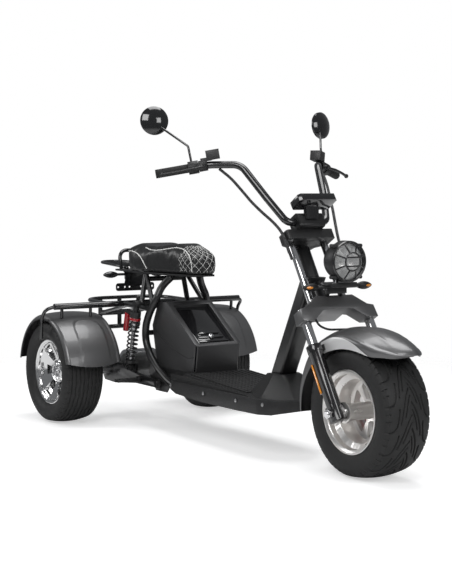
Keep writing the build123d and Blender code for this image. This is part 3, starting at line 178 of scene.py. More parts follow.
def makeFinish(name, color, metal=0.0, rough=0.5, grain=40.0, vary=0.15, roughVary=0.08, bump=0.1,
               bumpGrain=600.0, coat=0.0, wear=0.0, wearColor=(0.4, 0.4, 0.4), alpha=1.0, stretch=(1, 1, 1)):
    finish = bpy.data.materials.new(name)
    finish.use_nodes = True
    nodes, links = finish.node_tree.nodes, finish.node_tree.links
    skin = nodes["Principled BSDF"]
    coords = nodes.new("ShaderNodeTexCoord")
    spread = nodes.new("ShaderNodeMapping")
    spread.inputs["Scale"].default_value = stretch
    links.new(coords.outputs["Object"], spread.inputs["Vector"])
    broad = nodes.new("ShaderNodeTexNoise")
    broad.inputs["Scale"].default_value = grain
    broad.inputs["Detail"].default_value = 4
    links.new(spread.outputs[0], broad.inputs["Vector"])
    tone = nodes.new("ShaderNodeMix")
    tone.data_type = "RGBA"
    tone.inputs["A"].default_value = (*[c * (1 - vary) for c in color], 1)
    tone.inputs["B"].default_value = (*[min(1, c * (1 + vary)) for c in color], 1)
    links.new(broad.outputs["Fac"], tone.inputs["Factor"])
    lastColor = tone.outputs["Result"]
    if wear > 0:
        edge = nodes.new("ShaderNodeNewGeometry")
        ramp = nodes.new("ShaderNodeMapRange")
        ramp.inputs["From Min"].default_value = 0.53
        ramp.inputs["From Max"].default_value = 0.62
        ramp.inputs["To Max"].default_value = wear
        links.new(edge.outputs["Pointiness"], ramp.inputs["Value"])
        rubbed = nodes.new("ShaderNodeMix")
        rubbed.data_type = "RGBA"
        rubbed.inputs["B"].default_value = (*wearColor, 1)
        links.new(ramp.outputs[0], rubbed.inputs["Factor"])
        links.new(lastColor, rubbed.inputs["A"])
        lastColor = rubbed.outputs["Result"]
    links.new(lastColor, skin.inputs["Base Color"])
    dull = nodes.new("ShaderNodeMapRange")
    dull.inputs["To Min"].default_value = max(0.02, rough - roughVary)
    dull.inputs["To Max"].default_value = min(1, rough + roughVary)
    links.new(broad.outputs["Fac"], dull.inputs["Value"])
    links.new(dull.outputs[0], skin.inputs["Roughness"])
    if bump > 0:
        fine = nodes.new("ShaderNodeTexNoise")
        fine.inputs["Scale"].default_value = bumpGrain
        fine.inputs["Detail"].default_value = 3
        links.new(spread.outputs[0], fine.inputs["Vector"])
        relief = nodes.new("ShaderNodeBump")
        relief.inputs["Strength"].default_value = bump
        relief.inputs["Distance"].default_value = 0.0006
        links.new(fine.outputs["Fac"], relief.inputs["Height"])
        links.new(relief.outputs[0], skin.inputs["Normal"])
    skin.inputs["Metallic"].default_value = metal
    skin.inputs["Coat Weight"].default_value = coat
    skin.inputs["Coat Roughness"].default_value = 0.06
    if alpha < 1:
        skin.inputs["Alpha"].default_value = alpha
        finish.blend_method = "BLEND"
    finishes[name] = finish
    return finish


makeFinish("tyreRubber", (0.011, 0.011, 0.0112), rough=0.6, grain=60, vary=0.3, roughVary=0.12, bump=0.35,
           bumpGrain=900)
makeFinish("polishedAlloy", (0.86, 0.84, 0.82), metal=0.92, rough=0.3, grain=30, vary=0.05, roughVary=0.07,
           bump=0.04, bumpGrain=400)
makeFinish("wheelChrome", (0.82, 0.82, 0.82), metal=1, rough=0.09, grain=24, vary=0.05, roughVary=0.05,
           bump=0.03, bumpGrain=300)
makeFinish("tubeChrome", (0.84, 0.84, 0.85), metal=1, rough=0.06, grain=20, vary=0.03, roughVary=0.03,
           bump=0.02, bumpGrain=200)
makeFinish("glossBlack", (0.012, 0.012, 0.013), rough=0.2, grain=30, vary=0.25, roughVary=0.06, bump=0.05,
           coat=0.8)
makeFinish("frameBlack", (0.008, 0.008, 0.0085), rough=0.34, grain=50, vary=0.3, roughVary=0.1, bump=0.15,
           coat=0.3, wear=0.2, wearColor=(0.12, 0.12, 0.12))
makeFinish("castBlack", (0.01, 0.01, 0.0105), rough=0.42, grain=70, vary=0.3, roughVary=0.1, bump=0.3,
           bumpGrain=1200, wear=0.3, wearColor=(0.16, 0.16, 0.16))
makeFinish("metallicGrey", (0.15, 0.15, 0.152), metal=0.75, rough=0.4, grain=900, vary=0.18, roughVary=0.05,
           bump=0.04, bumpGrain=1500, coat=0.35)
makeFinish("silverPanel", (0.72, 0.72, 0.72), metal=0.3, rough=0.4, grain=700, vary=0.15, roughVary=0.05,
           bump=0.05, coat=0.6)
makeFinish("castSilver", (0.3, 0.3, 0.3), metal=0.85, rough=0.36, grain=90, vary=0.15, roughVary=0.08,
           bump=0.25, bumpGrain=1300, wear=0.25, wearColor=(0.6, 0.6, 0.6))
makeFinish("blackPlastic", (0.0075, 0.0075, 0.008), rough=0.45, grain=60, vary=0.25, roughVary=0.08,
           bump=0.35, bumpGrain=1600)
makeFinish("darkGreyPlastic", (0.028, 0.028, 0.029), metal=0.35, rough=0.4, grain=60, vary=0.2,
           roughVary=0.08, bump=0.3, bumpGrain=1500)
makeFinish("glossPlastic", (0.01, 0.01, 0.011), rough=0.12, grain=30, vary=0.2, roughVary=0.04, bump=0.03,
           coat=1.0)
makeFinish("gripRubber", (0.01, 0.01, 0.01), rough=0.72, grain=80, vary=0.3, bump=0.5, bumpGrain=900)
makeFinish("matRubber", (0.011, 0.011, 0.0115), rough=0.5, grain=90, vary=0.35, roughVary=0.12, bump=0.5,
           bumpGrain=800)
makeFinish("satinSteel", (0.5, 0.5, 0.51), metal=1, rough=0.3, grain=120, vary=0.1, roughVary=0.1,
           bump=0.08, stretch=(1, 1, 12))
makeFinish("redPaint", (0.42, 0.012, 0.02), rough=0.22, grain=60, vary=0.15, bump=0.05, coat=0.8)
makeFinish("amberLens", (0.85, 0.3, 0.03), rough=0.12, grain=90, vary=0.15, bump=0.2, bumpGrain=300, coat=0.8)
makeFinish("bulbGlass", (0.95, 0.95, 0.93), rough=0.25, grain=90, vary=0.04, bump=0.1, coat=0.5)
makeFinish("clearLens", (0.92, 0.94, 0.95), rough=0.06, grain=60, vary=0.03, roughVary=0.03, bump=0.25,
           bumpGrain=160, coat=0.6, alpha=0.28)
makeFinish("mirrorGlass", (0.86, 0.87, 0.88), metal=1, rough=0.04, grain=20, vary=0.03, roughVary=0.02,
           bump=0.0)
makeFinish("boxGrey", (0.07, 0.07, 0.072), metal=0.6, rough=0.42, grain=500, vary=0.15, roughVary=0.06,
           bump=0.12, bumpGrain=1500)
makeFinish("batteryCase", (0.03, 0.05, 0.09), rough=0.5, grain=60, vary=0.2, bump=0.2)
makeFinish("pipingCord", (0.8, 0.8, 0.78), rough=0.5, grain=200, vary=0.1, bump=0.2)


def leatherFinish(name, color):  # pebbled hide
    finish = makeFinish(name, color, rough=0.4, grain=30, vary=0.25, roughVary=0.06, bump=0.1, coat=0.2)
    nodes, links = finish.node_tree.nodes, finish.node_tree.links
    cells = nodes.new("ShaderNodeTexVoronoi")
    cells.inputs["Scale"].default_value = 420
    relief = nodes.new("ShaderNodeBump")
    relief.inputs["Strength"].default_value = 0.14
    relief.inputs["Distance"].default_value = 0.0005
    links.new(nodes["Mapping"].outputs[0], cells.inputs["Vector"])
    links.new(cells.outputs["Distance"], relief.inputs["Height"])
    links.new(nodes["Bump"].outputs[0], relief.inputs["Normal"])
    links.new(relief.outputs[0], nodes["Principled BSDF"].inputs["Normal"])


leatherFinish("saddleLeather", (0.009, 0.009, 0.0095))


def braidFinish():  # sleeve woven of two crossing sets of strands
    finish = makeFinish("braidedSleeve", (0.02, 0.02, 0.02), rough=0.55, grain=200, vary=0.3, bump=0.1)
    nodes, links = finish.node_tree.nodes, finish.node_tree.links
    coords = nodes.new("ShaderNodeTexCoord")
    waves = []
    for turn in (35, -35):
        tilt = nodes.new("ShaderNodeMapping")
        tilt.inputs["Rotation"].default_value = (math.radians(turn), math.radians(turn), math.radians(turn))
        links.new(coords.outputs["Object"], tilt.inputs["Vector"])
        wave = nodes.new("ShaderNodeTexWave")
        wave.inputs["Scale"].default_value = 120
        wave.inputs["Distortion"].default_value = 0.4
        links.new(tilt.outputs[0], wave.inputs["Vector"])
        waves.append(wave)
    both = nodes.new("ShaderNodeMath")
    both.operation = "MAXIMUM"
    links.new(waves[0].outputs["Fac"], both.inputs[0])
    links.new(waves[1].outputs["Fac"], both.inputs[1])
    relief = nodes.new("ShaderNodeBump")
    relief.inputs["Strength"].default_value = 0.8
    relief.inputs["Distance"].default_value = 0.0012
    links.new(both.outputs[0], relief.inputs["Height"])
    links.new(relief.outputs[0], nodes["Principled BSDF"].inputs["Normal"])
    tone = nodes.new("ShaderNodeMix")
    tone.data_type = "RGBA"
    tone.inputs["A"].default_value = (0.008, 0.008, 0.008, 1)
    tone.inputs["B"].default_value = (0.05, 0.05, 0.052, 1)
    links.new(both.outputs[0], tone.inputs["Factor"])
    links.new(tone.outputs["Result"], nodes["Principled BSDF"].inputs["Base Color"])


braidFinish()
print("finishes are made:", len(finishes))


def fresh():
    if bpy.context.object and bpy.context.object.mode != "OBJECT":
        bpy.ops.object.mode_set(mode="OBJECT")
    bpy.ops.object.select_all(action="DESELECT")


def pick(piece):
    fresh()
    piece.select_set(True)
    bpy.context.view_layer.objects.active = piece


def faceOutward():
    bpy.ops.object.mode_set(mode="EDIT")
    bpy.ops.mesh.select_all(action="SELECT")
    bpy.ops.mesh.normals_make_consistent(inside=False)
    bpy.ops.object.mode_set(mode="OBJECT")


def settle(piece, name, body, finish, angle=35, outward=True):  # finish a piece and hang it on its body
    pick(piece)
    if piece.type != "MESH":
        bpy.ops.object.convert(target="MESH")
        piece = bpy.context.object
    for modifier in list(piece.modifiers):
        bpy.ops.object.modifier_apply(modifier=modifier.name)
    bpy.ops.object.transform_apply(location=True, rotation=True, scale=True)
    if outward:
        faceOutward()
    piece.name = name
    piece.data.name = name
    piece.data.materials.clear()
    piece.data.materials.append(finishes[finish])
    bpy.ops.object.shade_smooth_by_angle(angle=math.radians(angle))
    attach(piece, body)
    piece.select_set(False)
    return piece


def joined(pieces):
    fresh()
    for piece in pieces:
        piece.select_set(True)
    bpy.context.view_layer.objects.active = pieces[0]
    bpy.ops.object.join()
    return bpy.context.object


def mirroredY(piece):  # the copy on the other side, with its faces turned back
    fresh()
    twin = piece.copy()
    twin.data = piece.data.copy()
    bpy.context.collection.objects.link(twin)
    twin.data.transform(Matrix.Scale(-1, 4, (0, 1, 0)))
    twin.data.flip_normals()
    return twin


def turnedRing(profile, steps, centre):  # profile of (y, radius) in mm, spun about the axle
    fresh()
    bpy.ops.mesh.primitive_circle_add(vertices=len(profile), fill_type="NOTHING")
    piece = bpy.context.object
    for vertex, (y, radius) in zip(piece.data.vertices, profile):
        vertex.co = centre + Vector((0, y / 1000, radius / 1000))
    bpy.ops.object.mode_set(mode="EDIT")
    bpy.ops.mesh.select_all(action="SELECT")
    bpy.ops.mesh.spin(steps=steps, angle=math.tau, center=centre, axis=(0, 1, 0), use_auto_merge=True)
    bpy.ops.mesh.select_all(action="SELECT")
    bpy.ops.mesh.remove_doubles(threshold=0.00002)
    bpy.ops.mesh.normals_make_consistent(inside=False)
    bpy.ops.object.mode_set(mode="OBJECT")
    return piece


def tube(points, radius, resolution=8, around=6, smooth=True):  # a round bar through places
    curve = bpy.data.curves.new("path", "CURVE")
    curve.dimensions = "3D"
    spline = curve.splines.new("NURBS" if smooth else "POLY")
    spline.points.add(len(points) - 1)
    for control, place in zip(spline.points, points):
        control.co = (*place, 1)
    if smooth:
        spline.order_u = 3
        spline.use_endpoint_u = True
    spline.resolution_u = resolution
    curve.bevel_depth = radius
    curve.bevel_resolution = around
    curve.use_fill_caps = True
    piece = bpy.data.objects.new("bar", curve)
    bpy.context.collection.objects.link(piece)
    pick(piece)
    bpy.ops.object.convert(target="MESH")
    return bpy.context.object


def screwHead(place, direction, radius, height, sides=6, socket=True):  # a stepped head, sunk where asked
    fresh()
    middle = (0, 0, height / 2)
    bpy.ops.mesh.primitive_cylinder_add(vertices=sides, radius=radius, depth=height, location=middle)
    piece = bpy.context.object
    bpy.ops.object.transform_apply(location=True)
    bpy.ops.object.mode_set(mode="EDIT")
    bpy.ops.mesh.select_mode(type="FACE")
    bpy.ops.mesh.select_all(action="DESELECT")
    mesh = bmesh.from_edit_mesh(piece.data)
    mesh.faces.ensure_lookup_table()
    for face in mesh.faces:
        face.select_set(face.normal.z > 0.9)
    bmesh.update_edit_mesh(piece.data)
    bpy.ops.mesh.inset(thickness=radius * 0.14)
    bpy.ops.transform.translate(value=(0, 0, height * 0.18))
    if socket:
        bpy.ops.mesh.inset(thickness=radius * 0.34)
        bpy.ops.mesh.extrude_region_move(TRANSFORM_OT_translate={"value": (0, 0, -height * 0.6)})
    bpy.ops.object.mode_set(mode="OBJECT")
    piece.data.transform(Matrix.Translation(place) @ direction.to_track_quat("Z", "Y").to_matrix().to_4x4())
    return piece


def looseCopy(node):  # the node's shape as a piece of its own
    source = frame["nodes"][node]
    piece = source.copy()
    piece.data = source.data.copy()
    for key in list(piece.keys()):
        del piece[key]
    piece.parent = None
    piece.matrix_world = Matrix.Identity(4)
    bpy.context.collection.objects.link(piece)
    pick(piece)
    return piece


def smoothCopy(node, finish):  # the node's shape with soft edges
    piece = looseCopy(node)
    bpy.ops.object.mode_set(mode="EDIT")
    bpy.ops.mesh.select_all(action="SELECT")
    bpy.ops.mesh.remove_doubles(threshold=0.00001)
    bpy.ops.mesh.dissolve_limited(angle_limit=math.radians(0.8))
    bpy.ops.object.mode_set(mode="OBJECT")
    bevel = piece.modifiers.new("softEdge", "BEVEL")
    bevel.width = 0.0006
    bevel.segments = 2
    bevel.limit_method = "ANGLE"
    bevel.angle_limit = math.radians(38)
    bevel.use_clamp_overlap = True
    body = frame["nodes"][node]["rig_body"]
    settle(piece, "dressed_" + node, body, finish, angle=32, outward=False)
    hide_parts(node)


# Tyres: a spun section with grooves cut by moving its outer rings inward
frontHub = (0, 0, wheels["frontZ"])
leftHub = (wheels["rearX"], wheels["rearY"], wheels["rearZ"])
rightHub = (wheels["rearX"], -wheels["rearY"], wheels["rearZ"])
tyreTable = {
    # body, centre, radius, width, rim diameter, rim width, steps around, columns across, groove depth
    "front_tyre": ("front_wheel", frontHub, 240, 205, 304, 186, 640, 84, 5.0),
    "rear_tyre_left": ("rear_left_wheel", leftHub, 225, 190, 286, 144, 320, 76, 4.0),
    "rear_tyre_right": ("rear_right_wheel", rightHub, 225, 190, 286, 144, 320, 76, 4.0),
}
tyreShape = {
    "beadInset": 4.3, "seatDrop": 12, "shoulder": 0.86, "crownDrop": 11, "wall": 24, "bead": 13,
    "ribs": 150, "ringDeep": 0.8,
}
treadLines = {
    # grooves of one repeat: width, then places (along, across) in mm
    "front": (94.2, [
        (5.5, [(0, 96), (2, 80), (6, 70), (16, 62), (34, 57), (62, 52), (84, 50)]),
        (5.0, [(-62, 44), (-30, 37), (10, 26), (40, 14), (62, 0)]),
        (3.5, [(-40, 26), (-6, 17), (26, 6), (36, 0)]),
        (2.6, [(40, 98), (42, 84)]), (2.6, [(66, 98), (68, 84)]),
    ]),
    "rear": (58.9, [
        (5.0, [(-4, 9), (30, 11), (63, 9)]), (5.0, [(-4, 27), (30, 30), (63, 27)]),
        (4.2, [(-4, 46), (30, 49), (63, 46)]), (3.6, [(-4, 64), (30, 66), (63, 64)]),
        (3.4, [(8, 92), (14, 74)]), (2.6, [(38, 92), (42, 78)]),
    ]),
}


def grooveDepth(along, across, repeat, lines):  # 1 in a groove, 0 on the tread, soft walls between
    depth = numpy.zeros_like(along)
    side = numpy.where(across < 0, repeat / 2, 0)
    a = numpy.mod(along + side, repeat)
    c = numpy.abs(across)
    for width, places in lines:
        for (a0, c0), (a1, c1) in zip(places[:-1], places[1:]):
            length = math.hypot(a1 - a0, c1 - c0)
            for shift in (-repeat, 0, repeat):
                t = ((a - a0 - shift) * (a1 - a0) + (c - c0) * (c1 - c0)) / length ** 2
                t = numpy.clip(t, 0, 1)
                away = numpy.hypot(a - a0 - shift - t * (a1 - a0), c - c0 - t * (c1 - c0))
                depth = numpy.maximum(depth, numpy.clip((width / 2 + 0.7 - away) / 1.4, 0, 1))
    return depth


def arcPoints(start, middle, end, count):  # places on the arc through three places
    (ax, ay), (bx, by), (cx, cy) = start, middle, end
    a2, b2, c2 = ax * ax + ay * ay, bx * bx + by * by, cx * cx + cy * cy
    d = 2 * (ax * (by - cy) + bx * (cy - ay) + cx * (ay - by))
    ux = (a2 * (by - cy) + b2 * (cy - ay) + c2 * (ay - by)) / d
    uy = (a2 * (cx - bx) + b2 * (ax - cx) + c2 * (bx - ax)) / d
    radius = math.hypot(ax - ux, ay - uy)
    first, half, last = [math.atan2(y - uy, x - ux) for x, y in (start, middle, end)]
    sweep = (half - first + math.pi) % math.tau - math.pi
    sweep += (last - half + math.pi) % math.tau - math.pi
    turns = [first + sweep * i / count for i in range(count + 1)]
    return [(ux + radius * math.cos(turn), uy + radius * math.sin(turn)) for turn in turns]


for node, (body, place, radius, width, rimSize, rimWidth, steps, columns, deep) in tyreTable.items():
    half, bead, seatR = width / 2, rimWidth / 2 - tyreShape["beadInset"], rimSize / 2 - tyreShape["seatDrop"]
    shoulder, crownEdge = half * tyreShape["shoulder"], radius - tyreShape["crownDrop"]
    middle = (radius + rimSize / 2) / 2 - 2
    wall = arcPoints((bead, rimSize / 2), (half, middle), (shoulder, crownEdge), 16)
    crown = arcPoints((shoulder, crownEdge), (0, radius), (-shoulder, crownEdge), columns)
    section = [(bead, seatR)] + wall + crown[1:-1] + [(-y, r) for y, r in reversed(wall)] + [(-bead, seatR)]
    foot = bead - tyreShape["bead"]
    section += [(-foot, seatR), (0, radius - tyreShape["wall"]), (foot, seatR)]
    piece = turnedRing(section, steps, at(*place))
    count = len(piece.data.vertices)
    spots = numpy.empty(count * 3)
    piece.data.vertices.foreach_get("co", spots)
    spots = spots.reshape(-1, 3)
    centre = at(*place)
    dx, dy, dz = [(spots[:, k] - centre[k]) * 1000 for k in range(3)]
    away = numpy.hypot(dx, dz)
    angle = numpy.arctan2(dz, dx)
    repeat, lines = treadLines["front" if node == "front_tyre" else "rear"]
    repeats = round(math.tau * radius / repeat)
    depth = grooveDepth((angle + math.pi) / math.tau * repeats * repeat, dy, repeat, lines)
    depth *= (numpy.abs(away - radius + 8) < 15) * deep
    ribs = 0.5 + 0.5 * numpy.sin(angle * tyreShape["ribs"])
    onWall = (away < radius - 14) & (away > rimSize / 2 + 20)
    depth += onWall * numpy.clip((away - radius + 34) / 14, 0, 1) * ribs
    for ringAt in (rimSize / 2 + 10, rimSize / 2 + 24, radius - 26):
        near = (away > rimSize / 2 + 3) & (away < radius - 14)
        depth -= near * numpy.clip(1.6 - numpy.abs(away - ringAt), 0, 1) * tyreShape["ringDeep"]
    keep = (away - depth) / numpy.maximum(away, 1)
    spots[:, 0] = centre.x + dx * keep / 1000
    spots[:, 2] = centre.z + dz * keep / 1000
    piece.data.vertices.foreach_set("co", spots.reshape(-1))
    piece.data.update()
    settle(piece, "treaded_" + node, body, "tyreRubber", angle=28, outward=False)
    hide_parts(node)
    print(node, len(piece.data.polygons))


# Front mudguard: a crowned skin through its sections, a dark liner inside and a lighter panel on each side
guardRows = [  # angle about the axle from straight ahead, then crest, half width, shoulder and edge
    (40.5, 345, 14, 342, 336), (44, 344.5, 52, 322, 302), (50, 335.5, 78, 303, 274),
    (58, 321.5, 98, 284, 248), (68, 309.5, 110, 275, 238), (80, 301.5, 112, 273, 230),
    (92, 299.5, 112, 277, 226), (108, 305.5, 112, 283, 226), (122, 314.5, 112, 288, 232),
    (136, 321.5, 112, 290, 240), (152, 311.5, 112, 284, 248), (170, 297.5, 112, 278, 256),
    (187, 286.5, 112, 270, 260),
]
guardShare = {"crown": 0.62, "bend": 0.2, "wall": 0.18, "flat": 0.84, "hip": 0.45}  # parts of a half section
guardFold = {"y": 50, "width": 9, "rise": 2.4, "from": 50, "to": 118}
guardWalls = {"skin": 0.0028, "liner": 0.0012, "panel": 0.0012}
guardSpans = {"skin": (40.5, 146.2), "liner": (46, 140.4), "panel": (60, 68)}  # first angle and sweep


def guardRow(angle):  # smooth values between the rows
    rows = guardRows
    last = len(rows) - 2
    i = next((k for k in range(last + 1) if rows[k + 1][0] >= angle), last)
    t = (angle - rows[i][0]) / (rows[i + 1][0] - rows[i][0])
    before, after = rows[max(0, i - 1)], rows[min(last + 1, i + 2)]
    values = []
    for k in range(1, 5):
        p0, p1 = rows[i][k], rows[i + 1][k]
        span = rows[i + 1][0] - rows[i][0]
        m0 = (p1 - before[k]) / max(1e-6, rows[i + 1][0] - before[0]) * span if i > 0 else p1 - p0
        m1 = (after[k] - p0) / max(1e-6, after[0] - rows[i][0]) * span if i < last else p1 - p0
        ends = (2 * t**3 - 3 * t**2 + 1) * p0 + (3 * t**2 - 2 * t**3) * p1
        values.append(ends + (t**3 - 2 * t**2 + t) * m0 + (t**3 - t**2) * m1)
    return values


def guardPlace(angle, across, lift=-0.4):  # across runs -1 to 1, from the right edge to the left edge
    crest, half, shoulder, edge = guardRow(angle)
    half = min(half, 112)
    t, side = abs(across), (-1 if across < 0 else 1)
    crown, bendEnd = guardShare["crown"], guardShare["crown"] + guardShare["bend"]
    w, hip = guardShare["flat"] * half, shoulder - guardShare["hip"] * (shoulder - edge)
    if t < crown:
        y = w * t / crown
        r = crest - (crest - shoulder) * (y / w) ** 2 + lift
    elif t < bendEnd:
        bend = (t - crown) / guardShare["bend"] * math.pi / 2
        y = w + (half - w) * math.sin(bend) + lift * math.sin(bend)
        r = hip + (shoulder - hip) * math.cos(bend) + lift * math.cos(bend)
    else:
        y, r = half + lift, hip + (edge - hip) * (t - bendEnd) / guardShare["wall"]
    fold = max(0, min(1, (angle - guardFold["from"]) / 12)) * max(0, min(1, (guardFold["to"] - angle) / 30))
    if t < crown:
        r += guardFold["rise"] * fold * max(0, 1 - abs(y - guardFold["y"]) / guardFold["width"]) ** 1.5
    flat = math.radians(angle)
    return at(r * math.cos(flat), side * y, wheels["frontZ"] + r * math.sin(flat))


def skinGrid(name, across, along, placeAt):  # a grid of across by along cells laid through places
    fresh()
    bpy.ops.mesh.primitive_grid_add(x_subdivisions=across, y_subdivisions=along, size=2)
    piece = bpy.context.object
    for vertex in piece.data.vertices:
        vertex.co = placeAt((vertex.co.x + 1) / 2, (vertex.co.y + 1) / 2)
    piece.name = name
    return piece


def thicken(piece, thickness):
    pick(piece)
    shell = piece.modifiers.new("wall", "SOLIDIFY")
    shell.thickness = thickness
    shell.offset = -1.0
    bpy.ops.object.modifier_apply(modifier="wall")
    return piece


def skinPlace(u, v):
    first, sweep = guardSpans["skin"]
    return guardPlace(first + sweep * v, 2 * u - 1)


def linerPlace(u, v):
    first, sweep = guardSpans["liner"]
    return guardPlace(first + sweep * v, (2 * u - 1) * 0.985, -4.0)


guardSkin = skinGrid("skin", 72, 170, skinPlace)
guardSkin = thicken(guardSkin, guardWalls["skin"])
settle(guardSkin, "mudguardSkin", "steering", "metallicGrey", angle=40)
guardLiner = skinGrid("liner", 36, 80, linerPlace)
guardLiner = thicken(guardLiner, guardWalls["liner"])
settle(guardLiner, "mudguardLiner", "steering", "blackPlastic", angle=40)
# angle and radius of the panel's upper edge
panelTop = [(59, 243), (69, 249), (86, 259), (105, 271), (121, 273), (128, 270)]


def panelPlace(u, v):
    angle = guardSpans["panel"][0] + guardSpans["panel"][1] * u
    low, high = next(pair for pair in zip(panelTop[:-1], panelTop[1:]) if pair[0][0] <= angle <= pair[1][0])
    top = low[1] + (high[1] - low[1]) * (angle - low[0]) / (high[0] - low[0])
    shoulder, edge = guardRow(angle)[2:]
    hip = shoulder - guardShare["hip"] * (shoulder - edge)
    crown, bend, wall = guardShare["crown"], guardShare["bend"], guardShare["wall"]
    if top > hip:
        first = crown + bend * math.acos(min(1, (top - hip) / (shoulder - hip))) / (math.pi / 2)
    else:
        first = crown + bend + wall * min(1, (hip - top) / (hip - edge))
    return guardPlace(angle, -(first + (1.0 - first) * v), 0.9)


panel = thicken(skinGrid("panel", 60, 16, panelPlace), guardWalls["panel"])
settle(panel, "mudguardPanelRight", "steering", "silverPanel", angle=40)
twin = mirroredY(panel)
twin.name = "mudguardPanelLeft"
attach(twin, "steering")
pads = []
for side in (-1, 1):
    fresh()
    bpy.ops.mesh.primitive_cube_add(size=1)
    pad = bpy.context.object
    for vertex in pad.data.vertices:
        vertex.co = forkAt(vertex.co.x * 40, side * (113.5 + vertex.co.y * 7), 250 + vertex.co.z * 22)
    pads.append(pad)
settle(joined(pads), "mudguardPads", "steering", "castBlack")
for piece in (guardSkin, guardLiner, panel, twin, bpy.data.objects["mudguardPads"]):
    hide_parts("front_mudguard")
print("front mudguard is made")

# Rear mudguards: a crowned skin with a raised scoop on its front, black inside
guardSection = [(105, 236)] + arcPoints((105, 243), (99, 251), (86, 256), 6)
guardSection += arcPoints((86, 256), (-25, 264), (-134, 254), 44)[1:]
guardSection += arcPoints((-134, 254), (-155, 248), (-161, 232), 8)[1:]
guardSection += [(-161, 220), (-161, 208), (-161, 196)]
rearGuardX = -1674.0
scoop = {"middle": -33.0, "half": 68.0, "top": 27.0, "bend": 46.0, "end": 78.0, "rise": 5.0}


def scoopRise(turn, y):
    across = abs(y - scoop["middle"]) / scoop["half"]
    along = max(0, (scoop["bend"] - turn) / (scoop["bend"] - scoop["top"]))
    inside = (across ** 2.6 + along ** 2.6) ** (1 / 2.6)
    rise = max(0, min(1, (1 - inside) * scoop["half"] / 4.5))
    lip = math.exp(-((1 - inside) * scoop["half"] / 4) ** 2) * 1.4
    fade = max(0, min(1, (scoop["end"] - turn) / (scoop["end"] - scoop["bend"])))
    return (rise * scoop["rise"] + lip) * fade if turn > scoop["top"] - 4 else 0


def rearPlace(turn, along, lift):
    spot = along * (len(guardSection) - 1)
    i = min(len(guardSection) - 2, int(spot))
    y, r = [a + (b - a) * (spot - i) for a, b in zip(guardSection[i], guardSection[i + 1])]
    low = 1 - 0.06 * max(0, (turn - 66) / 15) * ((y + 28) / 133) ** 2  # the front edge is bowed
    turn = turn * low
    r += lift + (scoopRise(turn, y) if r > 200 else 0) - 3.0
    y += lift * (0.9 if y < -150 else 0)
    flat = math.radians(turn)
    return at(rearGuardX + r * math.sin(flat), wheels["rearY"] + y, wheels["rearZ"] + r * math.cos(flat))


guardLayers = [  # name, finish, how far out, cells across, cells along, wall
    ("rearSkin", "metallicGrey", 2.6, 88, 150, 0.0028),
    ("rearLiner", "blackPlastic", -1.2, 44, 60, 0.0012),
]
for side, place in (("left", 1), ("right", -1)):
    node, pieces = "rear_mudguard_" + side, []
    for name, finish, lift, across, along, wall in guardLayers:
        skin = skinGrid(name, across, along, lambda u, v: rearPlace(-80 + 160.8 * v, u, lift))
        if place < 0:
            skin.data.transform(Matrix.Scale(-1, 4, (0, 1, 0)))
        pick(skin)
        faceOutward()
        up = sum(face.normal.z * face.area for face in skin.data.polygons)
        if up < 0:
            skin.data.flip_normals()
        pieces.append(settle(thicken(skin, wall), name + side, "chassis", finish, angle=40))
    posts = []
    for y in (300, 440):
        ends = [at(-1583, y * place, 507), at(-1586, y * place, 470)]
        posts.append(tube(ends, 0.007, around=4, smooth=False))
    pieces.append(settle(joined(posts), "rearPosts" + side, "chassis", "glossBlack"))
    for piece in pieces:
        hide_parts(node)
print("rear mudguards are made")

# Saddle: foam pressed out by air, then quilted on its nose
foam = {
    "middle": (-1350, 0, 668.5), "shrink": (0.985, 0.97, 0.955), "cell": 0.0068, "pressure": 4, "stiff": 12,
    "frames": 20, "most": 0.012,
}
seat = looseCopy("seat")
middle = at(*foam["middle"])
shrink = Matrix.Diagonal((*foam["shrink"], 1))
seat.data.transform(Matrix.Translation(middle) @ shrink @ Matrix.Translation(-middle))
remesh = seat.modifiers.new("even", "REMESH")
remesh.mode = "VOXEL"
remesh.voxel_size = foam["cell"]
bpy.ops.object.modifier_apply(modifier="even")
soft = seat.modifiers.new("soft", "SMOOTH")
soft.factor = 0.5
soft.iterations = 14
bpy.ops.object.modifier_apply(modifier="soft")
before = [vertex.co.copy() for vertex in seat.data.vertices]
cloth = seat.modifiers.new("foam", "CLOTH")
cloth.settings.use_pressure = True
cloth.settings.uniform_pressure_force = foam["pressure"]
cloth.settings.effector_weights.gravity = 0
cloth.settings.tension_stiffness = foam["stiff"]
cloth.settings.compression_stiffness = foam["stiff"]
cloth.settings.quality = 4
cloth.point_cache.frame_start = 1
cloth.point_cache.frame_end = foam["frames"]
for step in range(1, foam["frames"] + 1):
    bpy.context.scene.frame_set(step)
bpy.ops.object.modifier_apply(modifier="foam")
for vertex, start in zip(seat.data.vertices, before):
    moved = vertex.co - start
    if moved.length > foam["most"]:
        vertex.co = start + moved.normalized() * foam["most"]
bpy.context.scene.frame_set(1)
finer = seat.modifiers.new("finer", "SUBSURF")
finer.levels = finer.render_levels = 1
bpy.ops.object.modifier_apply(modifier="finer")
after = seat.modifiers.new("after", "SMOOTH")
after.factor = 0.5
after.iterations = 4
bpy.ops.object.modifier_apply(modifier="after")
quilt = {
    "centre": (-1215, 690), "pitch": 17.0, "slant": 0.9, "half": 3.4,
    "behind": -1196, "low": 676, "depth": 2.4,
}


def quiltAngles(place):  # turn and rise of a place about the middle of the nose, in degrees
    x = place.x * 1000 - shiftX - quilt["centre"][0]
    y = place.y * 1000
    z = place.z * 1000 - quilt["centre"][1]
    return math.degrees(math.atan2(y, x)), math.degrees(math.atan2(z, math.hypot(x, y)))


